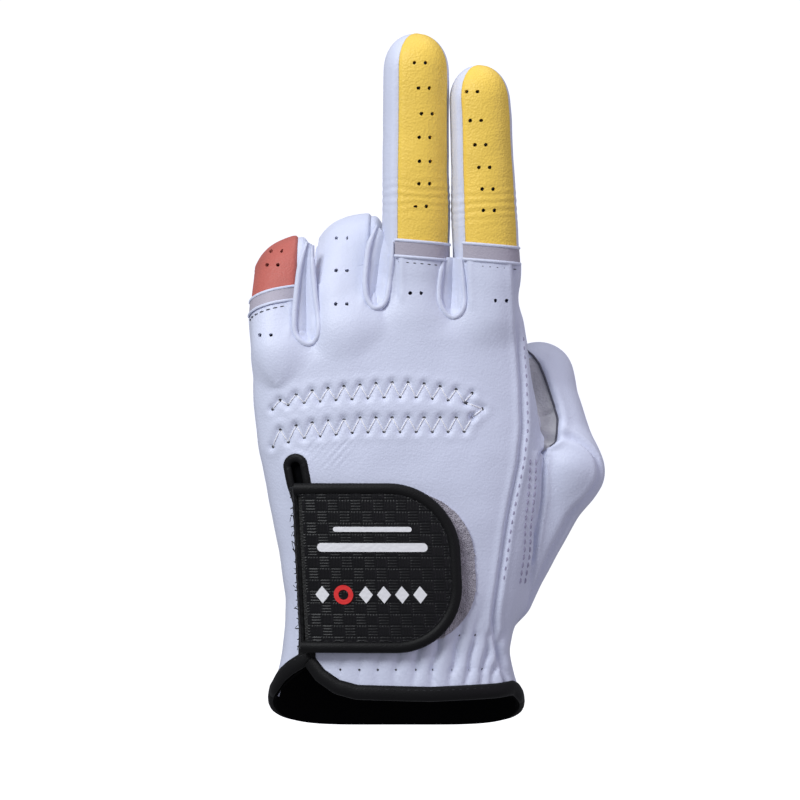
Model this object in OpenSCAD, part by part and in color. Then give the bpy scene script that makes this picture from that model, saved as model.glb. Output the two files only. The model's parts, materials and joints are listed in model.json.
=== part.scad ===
// Golf glove for the left hand, worn pose: index and middle fingers straight,
// ring and little fingers curled into the palm, thumb tucked across it.
// Millimetres. +Z runs from the cuff to the fingertips, -Y is the back of the hand, +X is the thumb side.
// The origin is the centre of the wrist opening, level with the lowest point of the cuff.

/* [Leather] */
// Thickness of every leather wall
leather_t = 1.0; // [0.8:0.1:1.2]
// Gap left at each sewn seam between neighbouring panels
seam_gap = 0.25; // [0.2:0.05:0.4]
// Squareness of the hand's cross-section
hand_n = 2.4; // [2:0.1:3]
// Squareness of a finger's cross-section
finger_n = 2.3; // [2:0.1:2.6]

/* [Fingers] */
// Bend of the ring and little fingers at the middle joint, as worn
curled_bend = 90; // [80:1:92]
// Hook of the curled fingertips beyond the middle joint
curled_hook = 60; // [45:1:60]
// Furthest bend of a straight finger at its root
root_flex = 45; // [30:1:45]
// Furthest bend of a straight finger at its middle joint
middle_flex = 60; // [40:1:60]

/* [Closure] */
// Length of the tab from its sewn edge to its rounded end
tab_length = 49; // [42:1:50]
// Height of the tab along its sewn edge
tab_height = 50.6; // [44:0.2:51]
// Thickness of the tab's printed cover
tab_t = 1.2; // [1:0.1:1.4]
// Radius of the round cord inside the tab's bound edge
tab_binding_r = 1.5; // [1.2:0.1:1.6]
// Thickness of the hook pad and of the loop patch
fastener_t = 0.8; // [0.6:0.1:0.9]

/* [Cuff] */
// Width of the bound edge round the wrist opening
cuff_binding_h = 3.2; // [2.6:0.1:3.6]
// Thickness of the bound edge round the wrist opening
cuff_binding_t = 2.4; // [2:0.1:2.6]
// Depth of the lining strip inside the palm side of the cuff
cuff_facing_h = 26; // [18:1:28]

/* [Hidden] */

// Colours
WHITE = "white";
PEARL = "gainsboro";
YELLOW = "gold";
RED = "indianred";
BAND = "thistle";
BLACK = "#202022";

// ---- Hand cross-section: [height, ulnar edge, thumb-side edge, half depth] ----
HAND = [
    [-2, -38.5, 38.0, 17.6], [8, -38.4, 37.8, 17.5], [15, -36.2, 34.6, 17.0], [22, -34.4, 33.0, 16.6],
    [30, -33.6, 34.6, 16.3], [38, -33.4, 37.2, 16.0], [53, -35.6, 40.4, 15.6], [68, -38.3, 43.0, 15.0],
    [83, -41.6, 43.8, 14.4], [98, -43.3, 42.0, 13.6], [113, -43.6, 39.6, 12.6], [132, -43.4, 37.9, 11.4]
];
function column(c) = [for (r = HAND) [r[0], r[c]]];
function hand_centre(z) = (lookup(z, column(1)) + lookup(z, column(2))) / 2;
function hand_half(z) = (lookup(z, column(2)) - lookup(z, column(1))) / 2;
function hand_depth(z) = lookup(z, column(3));

// Point of a superellipse with half sizes a and b, squareness n, at angle th
function oval(a, b, n, th) = [
    a * sign(cos(th)) * pow(abs(cos(th)), 2 / n),
    b * sign(sin(th)) * pow(abs(sin(th)), 2 / n)
];
// A point on the hand's surface: th 0 is the thumb side, -90 the back, 90 the palm
function hand_point(z, th, inset) =
    let (p = oval(hand_half(z) - inset, hand_depth(z) - inset, hand_n, th))
    [hand_centre(z) + p[0], p[1], z];
// Distance across the hand of a point at x, from 0 on its middle line to 1 at its edge
function across(x, z, inset) = min(0.985, abs(x - hand_centre(z)) / (hand_half(z) - inset));
// A point on the back of the hand straight behind (x, z)
function back_point(x, z, inset) =
    [x, -(hand_depth(z) - inset) * pow(1 - pow(across(x, z, inset), hand_n), 1 / hand_n), z];

// A closed sheet over a surface given as a function of (i, j, inset), with i and j from 0 to 1
module sheet(skin_at, rows, cols, outer = 0, t = leather_t) {
    ring = (rows + 1) * (cols + 1);
    points = [for (inset = [outer, outer + t]) for (i = [0:rows]) for (j = [0:cols])
        skin_at(i / rows, j / cols, inset)];
    at = function(k, i, j) k * ring + i * (cols + 1) + j;
    skins = [for (i = [0:rows - 1]) for (j = [0:cols - 1]) each [
        [at(0, i, j), at(0, i, j + 1), at(0, i + 1, j + 1)],
        [at(0, i, j), at(0, i + 1, j + 1), at(0, i + 1, j)],
        [at(1, i, j), at(1, i + 1, j + 1), at(1, i, j + 1)],
        [at(1, i, j), at(1, i + 1, j), at(1, i + 1, j + 1)]]];
    ends = [for (j = [0:cols - 1]) each [
        [at(0, 0, j), at(1, 0, j), at(1, 0, j + 1)], [at(0, 0, j), at(1, 0, j + 1), at(0, 0, j + 1)],
        [at(0, rows, j), at(1, rows, j + 1), at(1, rows, j)],
        [at(0, rows, j), at(0, rows, j + 1), at(1, rows, j + 1)]]];
    sides = [for (i = [0:rows - 1]) each [
        [at(0, i, 0), at(1, i + 1, 0), at(1, i, 0)], [at(0, i, 0), at(0, i + 1, 0), at(1, i + 1, 0)],
        [at(0, i, cols), at(1, i, cols), at(1, i + 1, cols)],
        [at(0, i, cols), at(1, i + 1, cols), at(0, i + 1, cols)]]];
    mid = skin_at(0.5, 0.5, outer);
    tangents = cross(skin_at(0.55, 0.5, outer) - mid, skin_at(0.5, 0.55, outer) - mid);
    facing_in = tangents * (skin_at(0.5, 0.5, outer + t) - mid) > 0;
    polyhedron(points, [for (f = concat(skins, ends, sides)) facing_in ? [f[2], f[1], f[0]] : f]);
}

function mix(a, b, t) = a + (b - a) * t;
// Degrees that the seam gap takes at radius r
function gap_angle(r) = seam_gap / r * 90 / PI;

// ---- Fingers ----
// A segment is [origin, across, palmward, along, half width, half depth, length, hook, closed tip]
function turned(origin, u, v, w, flex) =
    [origin, u, v * cos(flex) - w * sin(flex), w * cos(flex) + v * sin(flex)];
// A finger is [root x, root y, root z, lean, half width, half depth,
//              lower length, upper length, root bend, middle bend, hook]
INDEX = [27.2, -1.2, 129, -2.2, 9.6, 9.2, 26, 44.5, 0, 0, 0];
MIDDLE = [5.5, -1.2, 131, 0.2, 9.9, 9.4, 27, 51, 0, 0, 0];
RING = [-15.6, -1.0, 125, 0, 9.2, 9.0, 22, 46, 25, curled_bend, curled_hook];
LITTLE = [-35.7, -0.4, 118, 2.2, 7.8, 7.8, 24, 36, 30, curled_bend, curled_hook];
tip_dome = 12;
tip_taper = 0.09;

function lower_segment(f) =
    let (u = [cos(f[3]), 0, -sin(f[3])], w = [sin(f[3]), 0, cos(f[3])],
         t = turned([f[0], f[1], f[2]], u, [0, 1, 0], w, f[8]))
    [each t, f[4], f[5], f[6], 0, false];
function upper_segment(f) =
    let (s = lower_segment(f), t = turned(s[0] + s[3] * f[6], s[1], s[2], s[3], f[9]))
    [each t, f[4], f[5], f[7], f[10], true];

// Thumb: from the joint at its root to the joint before its nail, then to its tip
thumb_root = [51.8, 8.4, 77];
thumb_knuckle = [41.5, 24, 107];
thumb_tip = [14.5, 29, 97.5];
thumb_half = 10.2;
thumb_half_depth = 9.6;
function unit(v) = v / norm(v);
thumb_axis = unit(cross(thumb_knuckle - thumb_root, thumb_tip - thumb_knuckle));
function thumb_segment(a, b, closed) =
    let (w = unit(b - a), v = cross(thumb_axis, w))
    [a, thumb_axis, v, w, thumb_half, thumb_half_depth, norm(b - a), 0, closed];
THUMB_LOWER = thumb_segment(thumb_root, thumb_knuckle, false);
THUMB_UPPER = thumb_segment(thumb_knuckle, thumb_tip, true);

// How much of the full section is left at distance s along a segment
function tip_round(seg, s) =
    seg[8] && s > seg[6] - tip_dome ? sqrt(max(0.01, 1 - pow((s - seg[6] + tip_dome) / tip_dome, 2))) : 1;
// A point on a segment at distance s along it and angle th round it, inset from the outside
function segment_point(seg, s, th, inset) =
    let (closing = max(0, s - seg[6] + tip_dome) / tip_dome,
         along = seg[8] && closing > 0 ? s - inset * closing : s,
         phi = seg[7] * along / seg[6],
         r = seg[6] / max(0.001, seg[7] * PI / 180),
         w = seg[3] * cos(phi) + seg[2] * sin(phi),
         v = seg[2] * cos(phi) - seg[3] * sin(phi),
         run = seg[7] == 0 ? seg[3] * along : (seg[3] * sin(phi) + seg[2] * (1 - cos(phi))) * r,
         centre = seg[0] + run,
         taper = seg[8] ? 1 - tip_taper * s / seg[6] : 1,
         p = oval((seg[4] - inset) * taper, (seg[5] - inset) * taper, finger_n, th) * tip_round(seg, s))
    centre + seg[1] * p[0] + v * p[1];

// Setback of a wall from a joint, so that it clears the facing wall when the joint bends by flex towards +v
joint_gap = 0.6;
function setback(seg, th, flex) =
    joint_gap + max(0, oval(seg[4], seg[5], finger_n, th)[1]) * tan(flex / 2);
// One wall of a segment between the angles th0 and th1
module wall(seg, th0, th1, flex_start, flex_end, rows, cols) {
    g = gap_angle(min(seg[4], seg[5]));
    sheet(function(i, j, inset)
        let (th = mix(th0 + g, th1 - g, j),
             s = mix(setback(seg, th, flex_start),
                     seg[8] ? seg[6] * 0.9985 : seg[6] - setback(seg, th, flex_end), i))
        segment_point(seg, s, th, inset), rows, cols);
}
back_span = 58;
palm_span = 52;
module back_wall(seg, a, b, rows) wall(seg, -90 - back_span, -90 + back_span, a, b, rows, 6);
module palm_wall(seg, a, b, rows) wall(seg, 90 - palm_span, 90 + palm_span, a, b, rows, 6);
module side_walls(seg, a, b, rows) {
    wall(seg, -90 + back_span, 90 - palm_span, a, b, rows, 4);
    wall(seg, 90 + palm_span, 270 - back_span, a, b, rows, 4);
}
lower_rows = 3;
straight_rows = 9;
curled_rows = 12;
curled_root_flex = 10;
// Sharpest bends that each finger's walls have to clear: at its root and at its middle joint
function root_clear(f) = f[9] > 0 ? f[8] + curled_root_flex : root_flex;
function middle_clear(f) = f[9] > 0 ? f[9] + 6 : middle_flex;
function upper_rows(f) = f[9] > 0 ? curled_rows : straight_rows;

// The printed band at the foot of a coloured finger back, laid over its lower wall
band_h = 4.4;
band_t = 0.5;
module band(f, s0) {
    seg = lower_segment(f);
    sheet(function(i, j, inset)
        segment_point(seg, s0 + i * band_h, mix(-90 - back_span + 4, -90 + back_span - 4, j), inset),
        2, 6, -band_t - 0.05, band_t);
}

module lower_back(f, c) color(c) back_wall(lower_segment(f), root_clear(f), middle_clear(f), lower_rows);
module lower_palm(f) color(PEARL) palm_wall(lower_segment(f), root_clear(f), middle_clear(f), lower_rows);
module lower_sides(f) color(WHITE) side_walls(lower_segment(f), root_clear(f), middle_clear(f), lower_rows);
module upper_back(f, c) color(c) back_wall(upper_segment(f), middle_clear(f), 0, upper_rows(f));
module upper_palm(f) color(PEARL) palm_wall(upper_segment(f), middle_clear(f), 0, upper_rows(f));
module upper_sides(f) color(WHITE) side_walls(upper_segment(f), middle_clear(f), 0, upper_rows(f));

// ---- Hand shell ----
ulnar_seam = 165;
radial_seam = -32;
strip_edge = 6;
// Top edges: just under the finger roots, and lower on the palm side to clear the bent fingers
FINGER_TOPS = [
    [-44, 116.6], [-30, 117], [-25, 117.4], [-24, 121.6], [-8, 124],
    [-4, 127.8], [15, 129.6], [19, 127.6], [40, 127.6]
];
function back_top(x) = lookup(x, FINGER_TOPS);
palm_drop = 4.6;
// Bottom edge of the leather round the wrist
function cuff_edge(th) = 4.6 + cuff_binding_h - 4.6 * sin(th);

// The slit and the tab's sewn edge lean together: x where the slit's axis meets the origin's height, and its lean
slit_foot_x = -26.4;
slit_lean = -0.06;
slit_top = 80;
slit_w = 3.6;
slit_foot = 23;
// Fourchette that closes the gap between two finger roots
web_t = 1.2;

// x of the slit's axis at height z
function slit_at(z) = slit_foot_x + slit_lean * z;
// The slit over the wrist, with its round top end, opening into a wedge at the cuff
module slit_space(extra = 0) {
    half = slit_w / 2 + extra;
    rotate([90, 0, 0]) linear_extrude(40) union() {
        translate([slit_at(slit_top - slit_w / 2), slit_top - slit_w / 2]) circle(half, $fn = 24);
        polygon([
            [slit_at(slit_top - slit_w / 2) - half, slit_top - slit_w / 2], [slit_at(slit_foot) - half, slit_foot],
            [-44, 11], [-44, -4], [-14 + extra, -4], [-14 + extra, 8],
            [-19 + extra, 13], [slit_at(slit_foot) + half, slit_foot],
            [slit_at(slit_top - slit_w / 2) + half, slit_top - slit_w / 2]]);
    }
}
ulnar_cut = -134;
module back_panel() color(WHITE) difference() {
    sheet(function(i, j, inset)
        let (th = mix(ulnar_cut, radial_seam, j), low = cuff_edge(th), x = hand_point(110, th, 0)[0])
        hand_point(mix(low, back_top(x), i), th, inset), 18, 18);
    slit_space();
}
module ulnar_panel() color(WHITE) sheet(function(i, j, inset)
    let (th = mix(ulnar_seam - 360 + 0.5, ulnar_cut - 0.3, j),
         low = cuff_edge(th), top = back_top(hand_point(110, th, 0)[0]))
    hand_point(mix(low + 2 * j, top, i), th, inset), 16, 5);
thumb_hole_low = 34;
thumb_hole_high = 98;
function thumb_hole(z) =
    z < thumb_hole_low || z > thumb_hole_high ? 0 :
    pow(sin(180 * (z - thumb_hole_low) / (thumb_hole_high - thumb_hole_low)), 0.7);
module palm_panel() color(PEARL) sheet(function(i, j, inset)
    let (z = mix(cuff_edge(90), 122, i),
         th = mix(strip_edge + 0.5 + 42 * thumb_hole(z), ulnar_seam - 0.3, j),
         low = cuff_edge(th), top = back_top(hand_point(110, th, 0)[0]) - palm_drop)
    hand_point(mix(low, top, i), th, inset), 22, 20);
module index_side_strip() color(PEARL) sheet(function(i, j, inset)
    let (th = mix(radial_seam + 0.4, strip_edge, j), low = cuff_edge(th))
    hand_point(mix(low, 127.4, i), th, inset), 14, 4);

// The sleeve that joins the hand to the thumb's root
gusset_foot = [36, 6, 38];
module thumb_gusset(th0, th1) {
    w = unit(thumb_root - gusset_foot);
    v = unit(cross(w, [1, 0, 0]));
    u = cross(v, w);
    long = norm(thumb_root - gusset_foot);
    along = unit(thumb_knuckle - thumb_root);
    inside = unit(along - w * (along * w));
    color(PEARL) sheet(function(i, j, inset)
        let (th = mix(th0, th1, j),
             rim = oval(thumb_half, thumb_half_depth, finger_n, th),
             bend = max(0, (u * rim[0] + v * rim[1]) * inside),
             s = mix(0, long - joint_gap - 1.2 - bend * tan(25), i),
             a = mix(5, thumb_half, s / long), b = mix(10.2, thumb_half_depth, s / long),
             p = oval(a - inset, b - inset, finger_n, th))
        gusset_foot + w * s + u * p[0] + v * p[1], 8, 6);
}
module thumb_gusset_back() thumb_gusset(-82, -1);
module thumb_gusset_palm() thumb_gusset(1, 100);

// A saddle strip between two finger roots
module web(x, z, width) color(WHITE) translate([x, 0, z]) rotate([90, 0, 90])
    linear_extrude(width, center = true)
        difference() {
            translate([0, -24]) circle(24, $fn = 96);
            translate([0, -24]) circle(24 - web_t, $fn = 96);
            translate([-40, -60]) square([80, 58]);
        }
module web_little_ring() web(-26.6, 117.0, 3);
module web_ring_middle() web(-5.6, 124.2, 3);
module web_middle_index() web(16.6, 127.2, 3);

// Elastic strips sewn inside the leather, and the thread that shows where they run
elastic_t = 0.8;
knuckle_low = 89.5;
knuckle_high = 104;
knuckle_end = 26.5;
module knuckle_elastic() color(WHITE) sheet(function(i, j, inset)
    let (x = mix(-37.2, knuckle_end, j), end = max(0, x - knuckle_end + 6) / 6,
         z = mix(mix(knuckle_low, 96, end), mix(knuckle_high, 97, end), i))
    back_point(x, z, inset), 4, 16, leather_t + 0.15, elastic_t);
module wrist_elastic() color(WHITE) sheet(function(i, j, inset)
    hand_point(mix(18, 26, i), mix(-80, -36, j), inset), 3, 10, leather_t + 0.15, elastic_t);

// Short stitches standing on the leather, each from one point on the back of the hand to another
module stitch(a, b, lift, r) {
    p = back_point(a[0], a[1], -lift);
    q = back_point(b[0], b[1], -lift);
    d = q - p;
    translate(p) rotate([0, acos(d[2] / norm(d)), atan2(d[1], d[0])]) cylinder(norm(d), r, r, $fn = 6);
}
zigzag_pitch = 4.4;
zigzag_h = 3.6;
thread_r = 0.3;
thread_lift = 0.4;
module zigzag_row(z, count) for (k = [0:count - 1]) {
    x = -36 + k * zigzag_pitch;
    peak = x + zigzag_pitch / 2;
    stitch([x + 0.4, z + 0.4], [peak - 0.4, z + zigzag_h - 0.4], thread_lift, thread_r);
    stitch([peak + 0.4, z + zigzag_h - 0.4], [x + zigzag_pitch - 0.4, z + 0.4], thread_lift, thread_r);
}
module knuckle_zigzag_thread() color(WHITE) {
    zigzag_row(knuckle_high - zigzag_h, 14);
    zigzag_row(knuckle_low, 14);
}

// ---- Closure ----
tab_mid_z = 48.2;
// x of the tab's sewn edge at height z
function hinge_at(z) = slit_at(z) - 0.4;
tab_round = 20;
// Half height of the tab at distance d from its sewn edge, shrunk all round by trim
function tab_half(d, trim) =
    let (e = max(0, d - (tab_length - tab_round)) / (tab_round - trim))
    (tab_height / 2 - trim) * pow(max(0.001, 1 - pow(min(1, e), 2.6)), 1 / 2.6);
// Lifts a point of the tab straight off the back of the hand, flattening it where it spans the slit
function tab_point(d, z, lift) = back_point(hinge_at(z) + d, z, -lift) - [0, 1.4 * max(0, 1 - d / 16), 0];
loop_lift = 0.15;
hook_lift = loop_lift + fastener_t + 0.4;
cover_lift = hook_lift + fastener_t + 0.1;
module tab_sheet(d0, trim, lift, t, rows, cols) {
    sheet(function(i, j, inset)
        let (d = mix(d0, tab_length - trim, 1 - pow(1 - i, 1.5)), h = tab_half(d, trim))
        tab_point(d, tab_mid_z + mix(-h, h, j), -inset), rows, cols, -lift - t, t);
}
module tab_cover() color(BLACK) tab_sheet(0.4, tab_binding_r * 1.8 + 0.35, cover_lift, tab_t, 14, 8);
module tab_hook_pad() color(BLACK) tab_sheet(16, 4.5, hook_lift, fastener_t, 10, 4);
module loop_patch() color(WHITE) sheet(function(i, j, inset)
    let (d = mix(15, tab_length + 3.2, 1 - pow(1 - i, 1.5)), h = tab_half(d - 3.2, 3.5))
    back_point(hinge_at(tab_mid_z) + d, tab_mid_z + mix(-h, h, j), inset), 10, 8, -loop_lift - fastener_t, fastener_t);
// The rolled edge of the tab: a round rim that runs out along the top, round the end and back
tab_rim_sides = 8;
tab_rim_rings = 30;
module tab_binding() {
    path = [for (k = [0:tab_rim_rings])
        let (d = mix(0.4, tab_length - tab_binding_r, rim_run(k / tab_rim_rings)))
        tab_point(d, tab_mid_z + (k < tab_rim_rings / 2 ? -1 : 1) * rim_half(d), cover_lift + tab_t / 2)];
    ring = [for (k = [0:tab_rim_rings])
        let (t = unit(path[min(k + 1, tab_rim_rings)] - path[max(k - 1, 0)]), side = unit(cross(t, [0, -1, 0])))
        for (m = [0:tab_rim_sides - 1])
            let (a = 360 * m / tab_rim_sides)
            path[k] + side * tab_binding_r * 0.8 * cos(a) + cross(side, t) * tab_binding_r * sin(a)];
    skin = [for (k = [0:tab_rim_rings - 1]) for (m = [0:tab_rim_sides - 1])
        let (n = (m + 1) % tab_rim_sides, a = k * tab_rim_sides, b = a + tab_rim_sides)
        each [[a + m, b + n, b + m], [a + m, a + n, b + n]]];
    last = tab_rim_rings * tab_rim_sides;
    caps = [[for (m = [tab_rim_sides - 1:-1:0]) m], [for (m = [0:tab_rim_sides - 1]) last + m]];
    color(BLACK) polyhedron(ring, concat(skin, caps));
}
// Distance along the tab, and half height there, as the rim runs round from one sewn corner to the other
function rim_run(t) = 1 - pow(abs(2 * t - 1), 2.2);
function rim_half(d) = tab_half(d, tab_binding_r);
module tab_hinge_thread() color(BLACK) for (k = [0:15]) {
    z = tab_mid_z - tab_height / 2 + 3 + k * (tab_height - 6) / 15;
    p = tab_point(1.6, z, cover_lift + tab_t + 0.5);
    translate(p - [0.9, 0, 0]) rotate([0, 90, 0]) cylinder(1.8, thread_r, thread_r, $fn = 6);
}

// Bound edge of the slit: a flat U round its top end and down both sides
slit_binding_w = 2.2;
slit_binding_t = 1.0;
module slit_binding() color(BLACK) intersection() {
    difference() {
        sheet(function(i, j, inset)
            let (z = mix(slit_foot + 2, slit_top + 6, i))
            back_point(slit_at(z) + mix(-3.9, 6, j), z, inset),
              12, 8, -slit_binding_t - 0.1, slit_binding_t);
        slit_space();
    }
    slit_space(slit_binding_w);
}
// Bound edge of the wrist opening, from one foot of the slit round the palm to the other
cuff_th0 = -118;
cuff_th1 = 218;
module cuff_binding() color(BLACK) sheet(function(i, j, inset)
    let (th = mix(cuff_th0, cuff_th1, j), edge = cuff_edge(th) - 0.2)
    hand_point(edge - cuff_binding_h * (1 - i), th, inset),
          2, 60, -(cuff_binding_t - leather_t) / 2, cuff_binding_t);
module cuff_facing() color(BLACK) sheet(function(i, j, inset)
    let (th = mix(16, 158, j), edge = cuff_edge(th) + 0.3)
    hand_point(edge + cuff_facing_h * i, th, inset), 5, 24, leather_t + 0.45, 0.8);

// ---- Assembly ----
back_panel();
ulnar_panel();
palm_panel();
index_side_strip();
thumb_gusset_back();
thumb_gusset_palm();
web_little_ring();
web_ring_middle();
web_middle_index();
knuckle_elastic();
wrist_elastic();
knuckle_zigzag_thread();
loop_patch();
slit_binding();
cuff_binding();
cuff_facing();
tab_cover();
tab_binding();
tab_hook_pad();
tab_hinge_thread();
lower_back(INDEX, WHITE);  // index_lower_back
lower_palm(INDEX);  // index_lower_palm
lower_sides(INDEX);  // index_lower_fourchettes
color(BAND) band(INDEX, 10);  // index_band
upper_back(INDEX, YELLOW);  // index_upper_back
upper_palm(INDEX);  // index_upper_palm
upper_sides(INDEX);  // index_upper_fourchettes
lower_back(MIDDLE, WHITE);  // middle_lower_back
lower_palm(MIDDLE);  // middle_lower_palm
lower_sides(MIDDLE);  // middle_lower_fourchettes
color(BAND) band(MIDDLE, 10);  // middle_band
upper_back(MIDDLE, YELLOW);  // middle_upper_back
upper_palm(MIDDLE);  // middle_upper_palm
upper_sides(MIDDLE);  // middle_upper_fourchettes
lower_back(RING, WHITE);  // ring_lower_back
lower_palm(RING);  // ring_lower_palm
lower_sides(RING);  // ring_lower_fourchettes
upper_back(RING, WHITE);  // ring_upper_back
upper_palm(RING);  // ring_upper_palm
upper_sides(RING);  // ring_upper_fourchettes
lower_back(LITTLE, WHITE);  // little_lower_back
lower_palm(LITTLE);  // little_lower_palm
lower_sides(LITTLE);  // little_lower_fourchettes
color(BAND) band(LITTLE, 10);  // little_band
upper_back(LITTLE, RED);  // little_upper_back
upper_palm(LITTLE);  // little_upper_palm
upper_sides(LITTLE);  // little_upper_fourchettes
color(PEARL) back_wall(THUMB_LOWER, 48, 86, lower_rows);  // thumb_lower_back
color(PEARL) palm_wall(THUMB_LOWER, 48, 86, lower_rows);  // thumb_lower_palm
color(PEARL) side_walls(THUMB_LOWER, 48, 86, lower_rows);  // thumb_lower_sides
color(PEARL) back_wall(THUMB_UPPER, 86, 0, straight_rows);  // thumb_upper_back
color(PEARL) palm_wall(THUMB_UPPER, 86, 0, straight_rows);  // thumb_upper_palm
color(PEARL) side_walls(THUMB_UPPER, 86, 0, straight_rows);  // thumb_upper_sides
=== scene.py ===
import json
import math

import bpy
import numpy as np
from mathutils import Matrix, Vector


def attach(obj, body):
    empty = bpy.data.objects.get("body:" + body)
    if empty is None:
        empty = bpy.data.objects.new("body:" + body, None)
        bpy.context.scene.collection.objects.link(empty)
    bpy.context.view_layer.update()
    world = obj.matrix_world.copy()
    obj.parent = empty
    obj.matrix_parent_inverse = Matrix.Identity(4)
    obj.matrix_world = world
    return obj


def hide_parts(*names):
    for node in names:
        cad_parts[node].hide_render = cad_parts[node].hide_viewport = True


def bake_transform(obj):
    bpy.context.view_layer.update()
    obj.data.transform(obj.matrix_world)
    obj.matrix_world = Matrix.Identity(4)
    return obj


# A left-hand golf glove on an invisible hand: leather panels, closure tab and bound cuff.
# Lengths below are in millimetres, in the frame's own axes; to_object() turns them into metres.
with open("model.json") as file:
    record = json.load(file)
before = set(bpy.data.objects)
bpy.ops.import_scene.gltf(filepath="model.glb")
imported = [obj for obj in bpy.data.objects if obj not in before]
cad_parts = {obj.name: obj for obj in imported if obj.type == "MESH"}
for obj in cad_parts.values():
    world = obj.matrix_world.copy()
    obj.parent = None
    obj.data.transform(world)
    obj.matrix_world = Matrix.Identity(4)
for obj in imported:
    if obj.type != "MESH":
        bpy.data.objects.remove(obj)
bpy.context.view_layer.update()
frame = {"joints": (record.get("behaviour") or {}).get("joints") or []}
rng = np.random.default_rng(7)
MM = 0.001
HAND_N, FINGER_N = 2.4, 2.3  # how square the hand's and the fingers' oval sections are
LEATHER = 0.9  # thickness
NOWHERE = 30.0  # a distance too large for any seam to show
TO_BACK = np.array([0.0, -1.0, 0.0])  # from the palm out through the back of the hand


def vec(*values):
    return np.array(values, float)


def unit(v):
    return v / np.maximum(np.linalg.norm(v, axis=-1, keepdims=True), 1e-9)


def joint_point(name):
    joint = next(j for j in frame["joints"] if j["name"] == name)
    return np.array(joint["pos_m"]) / MM


def mix(a, b, t):
    return a + (b - a) * t


def signed_power(v, n):
    return np.sign(v) * np.abs(v) ** n


def smoothstep(lo, hi, x):
    t = np.clip((x - lo) / (hi - lo), 0, 1)
    return t * t * (3 - 2 * t)


def bump(x, width):
    """1 at x = 0, falling to nothing over about two widths."""
    return np.exp(-((x / width) ** 2))


# ---------------------------------------------------------------- noise
LATTICE = rng.random((64, 64, 64)) * 2 - 1


def value_noise(p, scale):
    """Smooth noise from -1 to 1 with features about scale millimetres across."""
    q = p / scale
    cell = np.floor(q).astype(int)
    f = q - cell
    f = f * f * (3 - 2 * f)
    total = np.zeros(len(p))
    for dx in (0, 1):
        for dy in (0, 1):
            for dz in (0, 1):
                w = (f[:, 0] if dx else 1 - f[:, 0]) * (f[:, 1] if dy else 1 - f[:, 1])
                w = w * (f[:, 2] if dz else 1 - f[:, 2])
                total += w * LATTICE[(cell[:, 0] + dx) % 64, (cell[:, 1] + dy) % 64, (cell[:, 2] + dz) % 64]
    return total


def leather_noise(p):
    """The slight unevenness of worn leather."""
    return 0.22 * value_noise(p, 13.0) + 0.09 * value_noise(p + 31.0, 5.5)


# ---------------------------------------------------------------- the hand
# Height, ulnar edge, thumb-side edge and half depth of the hand's section
HAND = np.array([
    [-6, -38.6, 38.0, 17.6], [8, -38.4, 37.8, 17.5], [15, -36.2, 34.9, 17.0], [22, -34.4, 33.2, 16.6],
    [30, -33.6, 34.8, 16.3], [38, -33.4, 37.2, 16.0], [53, -35.6, 40.0, 15.6], [68, -38.3, 42.4, 15.0],
    [83, -41.6, 43.0, 14.3], [98, -43.3, 41.6, 13.0], [113, -43.6, 39.2, 11.5], [140, -43.4, 37.6, 9.8],
])
fine_z = np.linspace(-20, 170, 381)


def smoothed(column, width=9):
    values = np.interp(fine_z, HAND[:, 0], HAND[:, column])
    kernel = np.hanning(2 * width + 1)
    padded = np.pad(values, width, mode="edge")
    return np.convolve(padded, kernel / kernel.sum(), mode="valid")


LEFT, RIGHT, DEPTH = smoothed(1), smoothed(2), smoothed(3)


def hand_centre(z):
    return (np.interp(z, fine_z, LEFT) + np.interp(z, fine_z, RIGHT)) / 2


def hand_half(z):
    return (np.interp(z, fine_z, RIGHT) - np.interp(z, fine_z, LEFT)) / 2


def hand_depth(z):
    return np.interp(z, fine_z, DEPTH)


def hand_point(z, th, out=0.0):
    """Point on the hand's section: th 0 is the thumb side, -90 the back, 90 the palm, in degrees."""
    a = np.radians(th)
    x = hand_centre(z) + (hand_half(z) + out) * signed_power(np.cos(a), 2 / HAND_N)
    y = (hand_depth(z) + out) * signed_power(np.sin(a), 2 / HAND_N)
    return np.stack(np.broadcast_arrays(x, y, z), -1)


def oval_field(x, y, a, b, n):
    """About the distance from an oval's edge, negative inside."""
    gx, gy = np.abs(x) / a + 1e-6, np.abs(y) / b + 1e-6
    g = (gx ** n + gy ** n) ** (1 / n)
    slope = np.hypot(g ** (1 - n) * gx ** (n - 1) / a, g ** (1 - n) * gy ** (n - 1) / b)
    return (g - 1) / np.maximum(slope, 1 / (1.6 * np.maximum(a, b)))


def soft_min(a, b, k):
    h = np.clip(0.5 + 0.5 * (b - a) / k, 0, 1)
    return b + (a - b) * h - k * h * (1 - h)


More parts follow.
